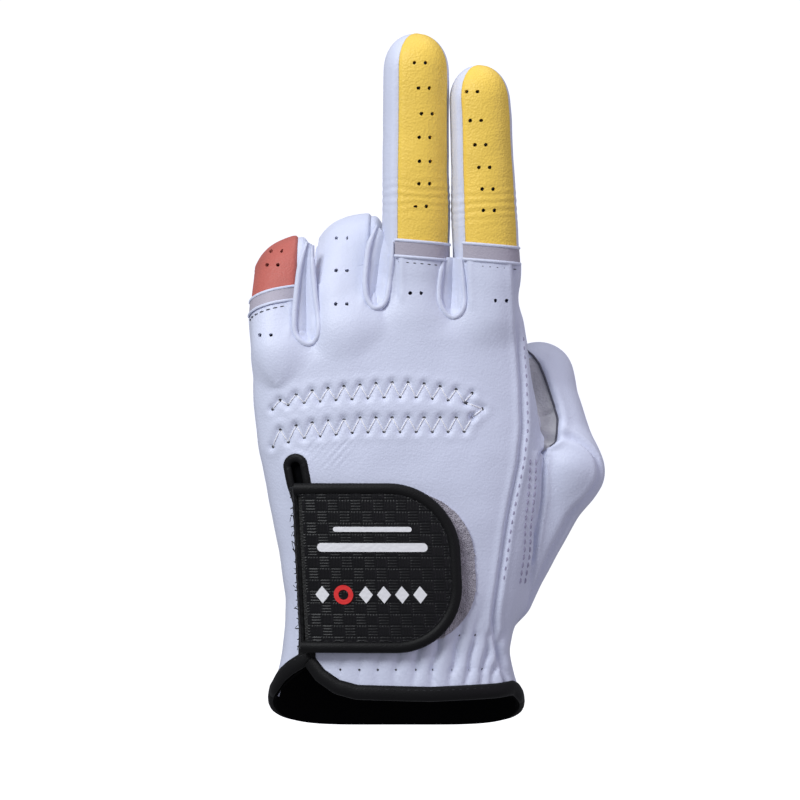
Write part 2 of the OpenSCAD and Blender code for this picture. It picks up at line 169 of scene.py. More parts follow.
# ---------------------------------------------------------------- fingers
class Finger:
    """A bent tube: a straight lower length, a round bend at its middle joint, and an upper length."""

    def __init__(self, name, lean, half, depth, lower, upper, root_bend, bend, hook, back, taper, tilt=0.0):
        self.name, self.back = name, back
        self.half, self.depth = half, depth
        self.taper, self.tilt = taper, tilt
        self.root = joint_point(f"{name}_root")
        prefix = "middle_finger" if name == "middle" else name
        self.knuckle = joint_point(f"{prefix}_middle_joint")
        self.lower, self.upper, self.hook = lower, upper, hook
        a, b = math.radians(lean), math.radians(root_bend)
        self.u = vec(math.cos(a), 0, -math.sin(a))
        w, v = vec(math.sin(a), 0, math.cos(a)), vec(0, 1, 0)
        self.w0, self.v0 = w * math.cos(b) + v * math.sin(b), v * math.cos(b) - w * math.sin(b)
        self.bend = math.radians(bend)
        self.length = lower + upper
        self.walk()

    def walk(self):
        """The centreline, every quarter millimetre from 12 mm below the root to the tip."""
        step = 0.25
        self.s = np.arange(-12, self.length + step, step)
        turn_length = 14.0
        turn = self.bend * smoothstep(self.lower - turn_length / 2, self.lower + turn_length / 2, self.s)
        turn += math.radians(self.hook) * smoothstep(self.lower + 10, self.length - 4, self.s)
        self.w = np.outer(np.cos(turn), self.w0) + np.outer(np.sin(turn), self.v0)
        self.v = np.outer(np.cos(turn), self.v0) - np.outer(np.sin(turn), self.w0)
        self.c = np.cumsum(self.w, 0) * step
        self.c += self.root - self.c[np.searchsorted(self.s, 0)]
        self.rate = np.gradient(turn, self.s)

    def size(self, s):
        """Share of the full section left at distance s: the taper, then the round tip."""
        dome = self.half * 1.15
        t = np.clip((s - (self.length - dome)) / dome, 0, 0.9995)
        return (1 - self.taper * np.clip(s / self.length, 0, 1)) * np.sqrt(1 - t ** 2.3)

    def at(self, s, th, out=0.0):
        """Point at distance s along the tube and angle th round it, in degrees."""
        grab = lambda rows: np.stack([np.interp(s, self.s, rows[:, k]) for k in range(3)], -1)
        c, v = grab(self.c), unit(grab(self.v))
        a = np.radians(th)
        x = self.half * signed_power(np.cos(a), 2 / FINGER_N)
        y = self.depth * signed_power(np.sin(a), 2 / FINGER_N)
        size = self.size(s)
        # Inside a bend the tube can't reach past the centre of the turn
        rate = np.interp(s, self.s, self.rate)
        room = np.where(rate > 1e-4, 0.88 / np.maximum(rate, 1e-4), 1e3)
        y = y * size
        y = np.where(y > 0, room * np.tanh(y / room), y)
        p = c + self.u * (x * size)[..., None] + v * y[..., None]
        p = p + unit(p - c) * np.asarray(out)[..., None]
        # A curled finger's knuckle stands higher on the thumb side
        rise = self.tilt * x * smoothstep(self.lower - 16, self.lower, s)
        rise = rise * (1 - smoothstep(self.lower + 6, self.lower + 20, s))
        return p + vec(0, 0, 1) * rise[..., None]

    def field(self, p):
        """About the distance from the straight lower length's wall, for blending into the hand."""
        q = p - self.root
        s, x, y = q @ self.w0, q @ self.u, q @ self.v0
        d = oval_field(x, y, self.half, self.depth, FINGER_N)
        # Below the root the tube narrows until the hand covers it
        return d + 0.013 * np.maximum(0, 8 - s) ** 2 + 0.04 * np.maximum(0, -6 - s) ** 2


FINGERS = {
    "index": Finger("index", -2.2, 10.25, 9.4, 26, 44.5, 0, 0, 0, (-127, -14), 0.13),
    "middle": Finger("middle", 0.2, 10.35, 9.6, 27, 51, 0, 0, 0, (-121, -12), 0.07),
    "ring": Finger("ring", 3.0, 10.7, 9.4, 24, 46, 25, 90, 60, (-163, -52), 0.12, 0.30),
    "little": Finger("little", 2.2, 9.0, 8.4, 26.5, 36, 30, 90, 60, (-178, -58), 0.12, 0.40),
}

# ---------------------------------------------------------------- thumb
thumb_root, thumb_knuckle = joint_point("thumb_root"), joint_point("thumb_tip_joint")
thumb_tip = vec(14.5, 29, 97.5)
gusset_foot = vec(35.0, 6, 39)


def capsule(p, a, b, ra, rb):
    q, d = p - a, b - a
    t = np.clip(q @ d / (d @ d), 0, 1)
    return np.linalg.norm(q - t[:, None] * d, axis=1) - (ra + (rb - ra) * t)


def thumb_field(p):
    knuckle = thumb_knuckle - vec(-1.5, 1, 2)
    base = capsule(p, gusset_foot, thumb_root, 6.0, 9.8)
    lower = capsule(p, thumb_root, knuckle, 9.9, 10.4)
    upper = capsule(p, knuckle, thumb_tip + vec(6.5, -1, 1), 10.2, 9.0)
    return soft_min(soft_min(base, lower, 6), upper, 4)


# How high the hand reaches under the finger roots, before they blend in
TOPS = np.array([[-44, 112], [-26, 117.5], [-6, 127.5], [16, 126], [40, 123]])


def palm_block(p):
    x, y, z = p.T
    d = oval_field(x - hand_centre(z), y, hand_half(z), hand_depth(z), HAND_N)
    top = z - np.interp(x, TOPS[:, 0], TOPS[:, 1])
    return -soft_min(-d, -top, 10)


def fingers_field(p):
    return np.min([f.field(p) for f in FINGERS.values()], axis=0)


def hand_field(p):
    return soft_min(palm_block(p), fingers_field(p), 9)


def body_field(p):
    return soft_min(hand_field(p), thumb_field(p), 7)


def gradient(field, p, e=0.15):
    steps = np.eye(3) * e
    return np.stack([field(p + s) - field(p - s) for s in steps], 1) / (2 * e)


def project(field, p, rounds=4):
    """Moves points onto the field's zero surface."""
    for _ in range(rounds):
        g = gradient(field, p)
        step = field(p) / np.maximum((g * g).sum(1), 0.15)
        p = p - np.clip(step, -1.5, 1.5)[:, None] * g
    return p


# ---------------------------------------------------------------- meshes as arrays
def surface_nets(field, low, high, h):
    """Quads over the field's zero surface, on a grid of spacing h."""
    axes = [np.arange(a, b + h, h) for a, b in zip(low, high)]
    grid = np.stack(np.meshgrid(*axes, indexing="ij"), -1)
    shape = grid.shape[:3]
    inside = (field(grid.reshape(-1, 3)) < 0).reshape(shape)
    count = sum(inside[i:shape[0] - 1 + i, j:shape[1] - 1 + j, k:shape[2] - 1 + k].astype(int)
                for i in (0, 1) for j in (0, 1) for k in (0, 1))
    active = (count > 0) & (count < 8)
    number = np.full(active.shape, -1)
    number[active] = np.arange(active.sum())
    points = grid[:-1, :-1, :-1][active] + h / 2
    quads = []
    for axis in range(3):
        a = np.moveaxis(inside, axis, 0)
        n = np.moveaxis(number, axis, 0)
        change = a[:-1, 1:-1, 1:-1] != a[1:, 1:-1, 1:-1]
        i, j, k = np.nonzero(change)
        j, k = j + 1, k + 1
        ring = np.stack([n[i, j - 1, k - 1], n[i, j, k - 1], n[i, j, k], n[i, j - 1, k]], 1)
        flip = ~a[i, j, k]
        if axis == 1:
            flip = ~flip
        ring[flip] = ring[flip][:, ::-1]
        quads.append(ring)
    quads = np.concatenate(quads)
    return points, quads[(quads >= 0).all(1)]


def relax(points, quads, field, rounds):
    """Evens out the points along the surface."""
    for _ in range(rounds):
        total, weight = np.zeros_like(points), np.zeros(len(points))
        for k in range(4):
            a, b = quads[:, k], quads[:, (k + 1) % 4]
            for m, n in ((a, b), (b, a)):
                np.add.at(total, m, points[n])
                np.add.at(weight, m, 1)
        points = mix(points, total / np.maximum(weight, 1)[:, None], 0.6)
        points = project(field, points, 2)
    return points


def split_quads(points, quads, field):
    """Each quad into four, with the new points on the surface."""
    edges = np.sort(np.concatenate([quads[:, [k, (k + 1) % 4]] for k in range(4)]), 1)
    unique, inverse = np.unique(edges, axis=0, return_inverse=True)
    mids = points[unique].mean(1)
    centres = points[quads].mean(1)
    n, m = len(points), len(unique)
    e = inverse.reshape(4, -1).T + n
    c = np.arange(len(quads)) + n + m
    new = np.concatenate([np.stack([quads[:, k], e[:, k], c, e[:, k - 1]], 1) for k in range(4)])
    return project(field, np.concatenate([points, mids, centres]), 3), new


def triangles(quads):
    return np.concatenate([quads[:, [0, 1, 2]], quads[:, [0, 2, 3]]])


def clip(points, faces, values):
    """Keeps the part of a triangle mesh where values < 0, cut cleanly along the zero line."""
    values = np.where(np.abs(values) < 1e-6, 1e-6, values)
    sign = values[faces] < 0
    whole = faces[sign.all(1)]
    mixed = faces[sign.any(1) & ~sign.all(1)]
    s = values[mixed] < 0
    lone = np.where(s.sum(1) == 1, s.argmax(1), (~s).argmax(1))
    r = np.arange(len(mixed))
    a, b, c = mixed[r, lone], mixed[r, (lone + 1) % 3], mixed[r, (lone + 2) % 3]
    edges = np.concatenate([np.stack([a, b], 1), np.stack([a, c], 1)])
    unique, inverse = np.unique(np.sort(edges, 1), axis=0, return_inverse=True)
    va, vb = values[unique[:, 0]], values[unique[:, 1]]
    t = (va / (va - vb))[:, None]
    cut = mix(points[unique[:, 0]], points[unique[:, 1]], t)
    e = inverse.ravel() + len(points)
    ab, ac = e[:len(mixed)], e[len(mixed):]
    one = s.sum(1) == 1
    tips = np.stack([a, ab, ac], 1)[one]
    rest = np.concatenate([np.stack([ab, b, c], 1)[~one], np.stack([ab, c, ac], 1)[~one]])
    faces = np.concatenate([whole, tips, rest])
    points = np.concatenate([points, cut])
    used, faces = np.unique(faces, return_inverse=True)
    faces = faces.reshape(-1, 3)
    good = (faces[:, 0] != faces[:, 1]) & (faces[:, 1] != faces[:, 2]) & (faces[:, 2] != faces[:, 0])
    return points[used], faces[good]


def without_crumbs(points, faces, share=0.05):
    """Drops the loose bits that cutting leaves: islands with under this share of the faces."""
    label = np.arange(len(points))
    while True:
        low = label[faces].min(1)
        new = label.copy()
        for k in range(3):
            np.minimum.at(new, faces[:, k], low)
        new = new[new]
        if (new == label).all():
            break
        label = new
    island = label[faces[:, 0]]
    names, count = np.unique(island, return_counts=True)
    kept = faces[np.isin(island, names[count >= share * len(faces)])]
    used, kept = np.unique(kept, return_inverse=True)
    return points[used], kept.reshape(-1, 3)


def face_normals(points, faces):
    tri = points[faces]
    return np.cross(tri[:, 1] - tri[:, 0], tri[:, 2] - tri[:, 0])


def vertex_normals(points, faces):
    n = face_normals(points, faces)
    total = np.zeros_like(points)
    for k in range(3):
        np.add.at(total, faces[:, k], n)
    return unit(total)


def thickened(points, faces, normals, t):
    """A sheet with thickness t below its outer face, walled along its edges."""
    n = len(points)
    edges = np.concatenate([faces[:, [0, 1]], faces[:, [1, 2]], faces[:, [2, 0]]])
    _, first, count = np.unique(np.sort(edges, 1), axis=0, return_index=True, return_counts=True)
    rim = edges[first[count == 1]]
    walls = np.concatenate([
        np.stack([rim[:, 1], rim[:, 0], rim[:, 0] + n], 1),
        np.stack([rim[:, 1], rim[:, 0] + n, rim[:, 1] + n], 1)])
    return (np.concatenate([points, points - normals * t]),
            np.concatenate([faces, faces[:, ::-1] + n, walls]))


def grid_faces(rows, cols, wrap=False):
    """Triangles over a grid of points stored row by row."""
    i, j = np.meshgrid(np.arange(rows - 1), np.arange(cols if wrap else cols - 1), indexing="ij")
    i, j = i.ravel(), j.ravel()
    k = (j + 1) % cols
    a, b, c, d = i * cols + j, i * cols + k, (i + 1) * cols + k, (i + 1) * cols + j
    return np.concatenate([np.stack([a, b, c], 1), np.stack([a, c, d], 1)])


def flat_mesh(first, second):
    """Two rows of values crossed into a grid, each as one flat array."""
    return [g.ravel() for g in np.meshgrid(first, second, indexing="ij")]


def joined(parts):
    """Several (points, faces) as one."""
    points, faces, n = [], [], 0
    for p, f in parts:
        points.append(p)
        faces.append(f + n)
        n += len(p)
    return np.concatenate(points), np.concatenate(faces)


def tube(path, radius, sides=8, flat=1.0, normal=None):
    """A round cord swept along a path; radius may vary. flat squeezes it along the given normals."""
    n = len(path)
    t = unit(np.gradient(path, axis=0))
    up = np.tile(vec(0.13, -1, 0.09), (n, 1)) if normal is None else np.broadcast_to(normal, (n, 3))
    side = unit(np.cross(t, up))
    up = np.cross(side, t)
    r = np.broadcast_to(radius, (n,))[:, None, None]
    a = np.linspace(0, 2 * math.pi, sides, endpoint=False)
    ring = side[:, None] * np.cos(a)[None, :, None] + up[:, None] * (np.sin(a) * flat)[None, :, None]
    points = (path[:, None] + ring * r).reshape(-1, 3)
    faces = grid_faces(n, sides, wrap=True)
    ends = []
    for centre, start, order in ((path[0], 0, 1), (path[-1], (n - 1) * sides, -1)):
        points = np.concatenate([points, centre[None]])
        k = np.arange(sides) + start
        fan = np.stack([np.full(sides, len(points) - 1), np.roll(k, -1), k], 1)
        ends.append(fan[:, ::order])
    return points, np.concatenate([faces, *ends])


def outward(points, faces):
    """Turns a closed mesh's faces so that its normals point outwards."""
    volume = (points[faces[:, 0]] * face_normals(points, faces)).sum()
    return faces if volume > 0 else faces[:, ::-1]


def facing(points, faces, away):
    """Turns a sheet's faces so that most of its normals point along away; gives the normals too."""
    normals = vertex_normals(points, faces)
    if (normals * away).sum(1).mean() < 0:
        return faces[:, ::-1], -normals
    return faces, normals


SHARP_EDGE = math.radians(58)


def to_object(name, mesh_arrays, material, body, replaces=()):
    """Makes a piece. body is a body's name, which the piece is attached to, or a tuple for a piece that is
    only baked in place; the tuple's values (a, b, start, end) are not used.
    """
    points, faces = mesh_arrays
    mesh = bpy.data.meshes.new(name)
    mesh.from_pydata((points * MM).tolist(), [], faces.tolist())
    mesh.polygons.foreach_set("use_smooth", np.ones(len(faces), bool))
    mesh.materials.append(material)
    mesh.update()
    mesh.set_sharp_from_angle(angle=SHARP_EDGE)
    piece = bpy.data.objects.new(name, mesh)
    bpy.context.scene.collection.objects.link(piece)
    if replaces:
        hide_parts(*replaces)
    if isinstance(body, tuple):
        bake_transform(piece)
    else:
        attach(piece, body)


def closed_piece(name, mesh_arrays, material, body, replaces=()):
    points, faces = mesh_arrays
    to_object(name, (points, outward(points, faces)), material, body, replaces)


def sheet_piece(name, points, faces, away, thickness, material, body, replaces=()):
    """A sheet with its outer face towards away."""
    faces, normals = facing(points, faces, away)
    to_object(name, thickened(points, faces, normals, thickness), material, body, replaces)


# ---------------------------------------------------------------- materials
def shader(name, color, rough, spread=0.04, grain=(900, 0.25), fine=(2600, 0.12), sheen=0.0, spec=0.4,
           ribs=None):
    """A procedural material: uneven colour, a pebbled grain and finer creases.

    grain and fine are (scale, strength)."""
    material = bpy.data.materials.new(name)
    material.use_nodes = True
    nodes, links = material.node_tree.nodes, material.node_tree.links
    out = nodes["Principled BSDF"]
    out.inputs["Roughness"].default_value = rough
    out.inputs["Specular IOR Level"].default_value = spec
    out.inputs["Sheen Weight"].default_value = sheen
    out.inputs["Sheen Roughness"].default_value = 0.4
    place = nodes.new("ShaderNodeTexCoord").outputs["Object"]

    def texture(kind, scale, **settings):
        node = nodes.new(kind)
        node.inputs["Scale"].default_value = scale
        for key, value in settings.items():
            node.inputs[key].default_value = value
        links.new(place, node.inputs["Vector"])
        return node

    patches = texture("ShaderNodeTexNoise", 70, Detail=4.0, Roughness=0.6)
    ramp = nodes.new("ShaderNodeValToRGB")
    dark = [c * (1 - spread) for c in color]
    light = [min(1, c * (1 + spread * 0.6)) for c in color]
    for stop, shade, position in zip(ramp.color_ramp.elements, (dark, light), (0.3, 0.7)):
        stop.color = (*shade, 1)
        stop.position = position
    links.new(patches.outputs["Fac"], ramp.inputs["Fac"])
    links.new(ramp.outputs["Color"], out.inputs["Base Color"])

    def raised(height, strength, depth, below=None):
        """A bump over the one below it."""
        node = nodes.new("ShaderNodeBump")
        node.inputs["Strength"].default_value = strength
        node.inputs["Distance"].default_value = depth
        links.new(height, node.inputs["Height"])
        if below:
            links.new(below, node.inputs["Normal"])
        return node.outputs["Normal"]

    pebbles = texture("ShaderNodeTexVoronoi", grain[0]).outputs["Distance"]
    creases = texture("ShaderNodeTexNoise", fine[0], Detail=3.0).outputs["Fac"]
    surface = raised(pebbles, grain[1], 0.0004)
    surface = raised(creases, fine[1], 0.0003, surface)
    if ribs:
        wave = texture("ShaderNodeTexWave", ribs[0], Distortion=0.4)
        wave.bands_direction = "Z"
        surface = raised(wave.outputs["Fac"], ribs[1], 0.0003, surface)
    links.new(surface, out.inputs["Normal"])
    return material


WHITE = shader("white_leather", (0.66, 0.695, 0.85), 0.5, 0.03, (1500, 0.16), (900, 0.22), sheen=0.1)
PEARL = shader("pearl_leather", (0.63, 0.64, 0.74), 0.50, 0.05, (1300, 0.22), (700, 0.3), sheen=0.1)
# Gusset grey: partly the pearl-grey of the gusset leather, partly painted shade of the thumb's crotch
SHADED_GUSSET = shader("gusset_leather_painted_shade", (0.52, 0.52, 0.56), 0.55, 0.08, (1300, 0.3), (700, 0.3))
YELLOW = shader("yellow_leather", (0.92, 0.63, 0.10), 0.5, 0.06, (1500, 0.34), (900, 0.3))
RED = shader("red_leather", (0.50, 0.125, 0.10), 0.5, 0.08, (1500, 0.34), (900, 0.3))
GREY = shader("grey_band", (0.42, 0.39, 0.46), 0.5, 0.05, (1700, 0.2), (900, 0.2))
COVER = shader("black_embossed", (0.0035, 0.0035, 0.0045), 0.40, 0.1, (2600, 0.1), (3000, 0.1), spec=0.24)
BINDING = shader("black_binding", (0.0035, 0.0035, 0.004), 0.55, 0.15, (2400, 0.15), (3400, 0.15), spec=0.2)
PILE = shader("loop_pile", (0.50, 0.47, 0.54), 0.9, 0.3, (2200, 1.0), (3000, 1.0), sheen=0.6)
HOOK = shader("hook", (0.02, 0.02, 0.02), 0.7, 0.2, (1600, 1.0), (2000, 0.5))
ELASTIC = shader("elastic", (0.75, 0.75, 0.78), 0.8, 0.06, (1800, 0.4), (2400, 0.4), ribs=(600, 0.6))
THREAD = shader("white_thread", (0.90, 0.90, 0.95), 0.6, 0.04, (3000, 0.3), (4000, 0.3), sheen=0.2)
BLACK_THREAD = shader("black_thread", (0.012, 0.012, 0.014), 0.55, 0.2, (3000, 0.3), (4000, 0.3))
# Near-black, dull material for the sheets inside the cuff and the slit
BLACK_INSIDE = shader("black_inner_sheet", (0.002, 0.002, 0.0025), 0.9, 0.1, spec=0.05)
# Near-black cord colour: painted shadow, not a thread
CROTCH_SHADOW_LINE = shader("painted_shadow_line", (0.10, 0.10, 0.13), 0.7, 0.1)
# Lavender thread, darkened with painted shade of the sunk stitches
SHADED_SEAM_THREAD = shader("seam_thread_painted_shade", (0.36, 0.34, 0.48), 0.6, 0.06, (3000, 0.3), (4000, 0.3))
PRINT_WHITE = shader("print_white", (0.80, 0.80, 0.82), 0.45, 0.03)
PRINT_RED = shader("print_red", (0.75, 0.03, 0.03), 0.45, 0.05)
# Near-black discs: painted shade inside needle holes
HOLE_SHADE = shader("needle_hole_painted_shade", (0.05, 0.05, 0.06), 0.8, 0.2)


# ---------------------------------------------------------------- seams on the hand
def line(points):
    points = np.array(points, float)
    return lambda t: np.interp(t, points[:, 0], points[:, 1])


# Seam between the back and the index-side strip: x at each height
side_seam = line([[-6, 34.5], [12, 33.0], [26, 29.6], [33, 29.1], [38, 29.7], [52, 31.9], [61, 33.1],
                  [69, 34.6], [80, 36.8], [90, 37.9], [104, 37.6], [120, 36.3], [150, 35.2]])
# Lowest edge of the back's leather: height at each x, with the foot of the slit at its peak
back_edge = line([[-50, 11.0], [-38.3, 12.6], [-36, 15.6], [-32, 19.4], [-27.0, 22.6], [-23, 17.4],
                  [-18, 14.0], [-12, 12.4], [10, 11.8], [30, 12.6], [45, 14.4]])
# Middle line of the slit: x at each height, and the centre of its round top
slit_axis = line([[15, -26.8], [22, -26.9], [56, -27.4], [68, -28.2], [78.5, -30.3]])
SLIT_TOP = (-30.3, 78.5)
ULNAR_SEAM_Y = 4.0
STRIP_Y = 1.8


def cuff_height(x, y):
    """Lowest edge of the leather round the wrist: low on the palm, rising at the sides to the back's line."""
    side = np.where(x > 0, 10.5, 12.2)
    palm = 3.2 + (side - 3.2) * (1 - np.clip(y / 17.5, 0, 1)) ** 1.6
    return mix(palm, back_edge(x), 1 - smoothstep(-7, 0, y))


# Where the fingers part: height at each x
KNUCKLE_Y, ULNAR_SLOPE = -9, 0.34
knuckle_line = line([[-48, 110.5], [-26.2, 115.4], [-5.4, 125.0], [15.7, 123.2], [42, 121.0]])


def knuckle_height(p):
    """The line where fingers part, sloping down to the palm under the curled fingers."""
    slope = ULNAR_SLOPE * (1 - smoothstep(-9, -2, p[:, 0]))
    return knuckle_line(p[:, 0]) - slope * (p[:, 1] - KNUCKLE_Y)


SPLITS = [-26.2, -5.4, 15.7]
ORDER = ["little", "ring", "middle", "index"]
BASE_OVERLAP = 0.6
ROOT_WINDOW = {"little": 14.3, "ring": 15.0, "middle": 16.4, "index": 17.2}


def root_plane(name):
    """Start point, direction and length of the stretch over which a finger's base bends."""
    k = ORDER.index(name)
    x0, x1 = ([-44] + SPLITS)[k], (SPLITS + [38])[k]
    start = vec((x0 + x1) / 2, KNUCKLE_Y, (knuckle_line(x0) + knuckle_line(x1)) / 2)
    slope = ULNAR_SLOPE if name in ("little", "ring") else 0.0
    normal = unit(vec(-(knuckle_line(x1) - knuckle_line(x0)) / (x1 - x0), slope, 1.0))
    return start, normal, ROOT_WINDOW[name]


# ---------------------------------------------------------------- relief of the leather
ROW_TOP, ROW_FOOT, ROW_PITCH = (103.8, 99.3), (93.3, 89.0), 4.85
ROW_X0, ROW_X1 = -37.6, 22.6
# How far the two rows sink at each x, towards the little finger and the index
row_drop = line([[-41, 9.0], [-39, 7.6], [-36, 5.8], [-32.5, 4.2], [-28.6, 3.3], [-25, 2.4], [-17.7, 1.4],
                 [-9, 0.6], [-1, 0], [5, 0.1], [10, 0.7], [15, 1.7], [19, 2.4], [23, 3.4]])
foot_drop = line([[-41, 6.4], [-38.8, 5.2], [-35.6, 3.9], [-32, 3.0], [-28.9, 2.1], [-25.5, 1.6],
                  [-21.7, 1.2], [-17, 0.7], [-12, 0.1], [23, 0]])


def zigzag(row):
    """Corner points of a zigzag row, from the little finger's side to the index's."""
    count = int(round((ROW_X1 - ROW_X0) / ROW_PITCH * 2))
    xs = np.linspace(ROW_X0, ROW_X1, count + 1)
    at_foot = np.arange(count + 1) % 2 == 0
    drop = row_drop(xs) * np.where(at_foot, 0.55, 1.0) if row is ROW_TOP else foot_drop(xs)
    return np.stack([xs, np.where(at_foot, row[1], row[0]) - drop], 1)


ROW_TIP = np.array([[ROW_X1 - 1.5, 97.4], [25.8, 95.8], [ROW_X1, 93.3]])
ZIGZAGS = [zigzag(ROW_TOP), zigzag(ROW_FOOT), ROW_TIP]


def away_from(path, x, z):
    """Distance in the back's plane from a broken line."""
    best = np.full(x.shape, 99.0)
    for (ax, az), (bx, bz) in zip(path[:-1], path[1:]):
        dx, dz = bx - ax, bz - az
        t = np.clip(((x - ax) * dx + (z - az) * dz) / (dx * dx + dz * dz), 0, 1)
        best = np.minimum(best, np.hypot(x - ax - t * dx, z - az - t * dz))
    return best


def knuckle_relief(x, z):
    """Puckers between the stitches of the zigzag, and the elastic's swelling between its rows."""
    d = np.zeros_like(x)
    near = (z > 78) & (z < 112)
    px, pz = x[near], z[near]
    total = np.zeros_like(px)
    for path in ZIGZAGS:
        far = away_from(path, px, pz)
        total += -0.42 * bump(far, 0.85) + 0.20 * bump(far - 2.0, 1.2)
        for hx, hz in path:
            total -= 0.5 * bump(np.hypot(px - hx, pz - hz), 0.9)
    middle = 96.4 - (row_drop(px) + foot_drop(px)) / 2
    total += 0.35 * bump(pz - middle, 2.6) * smoothstep(-42, -34, px) * (1 - smoothstep(20, 26, px))
    # Fine folds that run down from the foot row to the slit
    fold = (px - pz * 0.9) / 2.3
    total += 0.13 * np.sin(fold * 2 * math.pi) * bump(np.hypot(px + 19, (pz - 83) * 0.8), 8)
    d[near] = total
    return d


WRIST_STITCH_ROWS = (17.8, 28.0)
WRIST_FOLDS = [-17.0, -11.2, -5.5, 0.1, 6.2, 11.6, 17.6, 22.4, 26.7, 30.2]


def fold_x(start, z):
    """The folds of the wrist lean towards the thumb as they rise."""
    return start + 0.20 * (z - 22) * smoothstep(-20, 20, start)


def wrist_relief(x, z):
    """Puckers gathered by the elastic in the wrist."""
    d = np.zeros_like(x)
    near = (z > 2) & (z < 46) & (x > -26)
    px, pz = x[near], z[near]
    zone = bump(pz - 22, 9.0)
    strong = 0.28 + 0.72 * smoothstep(-12, 20, px)
    total = np.zeros_like(px)
    for k, start in enumerate(WRIST_FOLDS):
        away = px - fold_x(start, pz) - 0.25 * np.sin(pz * 0.7 + 2.1 * k)
        total += 0.60 * bump(away - 2.7, 1.7) - 1.15 * bump(away, 0.85)
        for stitch in WRIST_STITCH_ROWS:
            total -= 0.45 * bump(np.hypot(away, pz - stitch), 1.0)
    d[near] = total * zone * strong
    # Fine slanting creases between the folds, just above the binding
    fine = np.sin((px + 0.8 * pz) * 2 * math.pi / 2.6) * bump(pz - 15.5, 3.0)
    d[near] += 0.12 * fine * strong
    return d


# Seam that joins the thumb to the hand: x at each height. The gusset starts at the crotch's corner.
GUSSET_LOW = 83.0
thumb_seam = line([[28, 38.6], [38.8, 39.6], [44, 40.6], [52.2, 41.7], [60.5, 41.9], [71.3, 43.0],
                   [82, 43.4], [83.4, 44.6], [85.4, 47.4], [88.8, 48.3], [93, 48.7], [96.6, 47.8],
                   [99.8, 46.8], [102.6, 45.9], [105.9, 44.7], [109.5, 43.2], [111.9, 41.4], [114, 38.9]])


def thumb_side(p):
    """Negative on the thumb's side of the line where thumb and hand meet."""
    return thumb_field(p) - hand_field(p)


def thumb_relief(p):
    """The turned edge along the thumb's seam, and the gusset sunk behind it."""
    x, y, z = p.T
    front = 1 - smoothstep(9, 15, y)
    reach = smoothstep(36, 41, z) * (1 - smoothstep(111, 116, z)) * smoothstep(38, 41, x)
    away = x - thumb_seam(z)
    gusset = smoothstep(82, 86, z)
    on_thumb = 1 - smoothstep(-2.0, 0.0, thumb_side(p))
    d = -1.1 * bump(away, 0.75) + 0.45 * bump(away + 1.7, 0.9) * (1 - gusset)
    d += gusset * (0.75 * bump(away - 2.0, 1.6) - 1.2 * on_thumb * (1 - smoothstep(-1.5, 0.3, away)))
    corner = np.hypot((x - 45.5) / 3.5, z - 83.2)
    creases = bump((z - 95.0) - 0.55 * (x - 46), 0.7) * smoothstep(43, 45, x) * (1 - smoothstep(47, 49, x))
    return front * reach * (d - 0.7 * bump(corner, 0.8) - 0.7 * creases)


def body_relief(p):
    """Height of everything shaped in the leather: noise, gathers, the seams of thumb and strip, creases."""
    x, y, z = p.T
    back = 1 - smoothstep(-6, 0, y)
    d = leather_noise(p)
    d += back * (knuckle_relief(x, z) + wrist_relief(x, z)) + thumb_relief(p)
    strip_seam = np.where(x > 20, y - STRIP_Y, NOWHERE)
    d += seam_relief(strip_seam) * (1 - smoothstep(94, 110, z))
    for finger in FINGERS.values():
        d += back * 0.7 * bump(np.hypot(x - finger.root[0], (z - finger.root[2] + 9) / 1.3), 7.5)
    palm = smoothstep(2, 8, y)
    crease = bump(z - 70 - 0.35 * x, 2.2) + bump(z - 92 + 0.12 * x, 2.0)
    return d - 0.5 * palm * crease * (1 - smoothstep(26, 34, np.abs(x)))


def seam_relief(distance, deep=1.0, wide=0.8):
    """Leather turned under along a seam, with a slight roll beside it."""
    d = np.abs(distance)
    return -deep * bump(d, wide) + 0.42 * bump(d - 1.7, 1.0)


def finger_seams(p):
    """Grooves that carry each finger's side seams down into its base."""
    total = np.zeros(len(p))
    which = np.searchsorted(SPLITS, p[:, 0])
    for k, name in enumerate(ORDER):
        f = FINGERS[name]
        x, y = (p - f.root) @ f.u, (p - f.root) @ f.v0
        above = smoothstep(0.5, 4.5, p[:, 2] - knuckle_height(p) - 1.5) * (which == k) * (y < 1)
        for th in f.back:
            edge = f.half * signed_power(math.cos(math.radians(th)), 2 / FINGER_N)
            total += above * seam_relief(x - edge, 0.6, 0.7) * (abs(edge) < f.half * 0.97)
    return total


# ---------------------------------------------------------------- hand, finger bases and thumb
# Pairs of breathing holes: the middle of each pair
HOLES = {
    "middle": [(7.2, 156.5), (8.2, 163.3), (8.4, 170), (8.3, 177.2), (9.0, 184.3), (8.1, 192), (6.9, 199.6)],
    "index": [(27.6, 155.3), (27.2, 161.7), (26.2, 168.2), (25.0, 175), (23.6, 182.3), (22.5, 191)],
    "ring": [(-16.7, 137.4), (-16.7, 147.3)],
    "little": [(-37.7, 139.3), (-36.6, 143.6)],
}
BASE_HOLES = {"middle": [(5.6, 130.5)], "index": [(31.2, 128.2)], "ring": [(-16.7, 127.2), (-16.7, 137.4)],
              "little": [(-39.4, 117.8)]}
HOLE_GAP, HOLE_R = 3.3, 0.62


def relieved(points, seams):
    """The points pushed out by the leather's relief and in along the seams."""
    d = body_relief(points) + finger_seams(points)
    for seam in seams:
        d += seam_relief(seam(points))
    return points + unit(gradient(body_field, points)) * d[:, None]


def punched(points, faces, holes, deepest):
    """Cuts pairs of breathing holes through the wall that lies before y = deepest."""
    for x, z in holes:
        for side in (-1, 1):
            ring = HOLE_R - np.hypot(points[:, 0] - x - side * HOLE_GAP / 2, points[:, 2] - z)
            points, faces = clip(points, faces, np.where(points[:, 1] < deepest, ring, -9.0))
    return points, faces


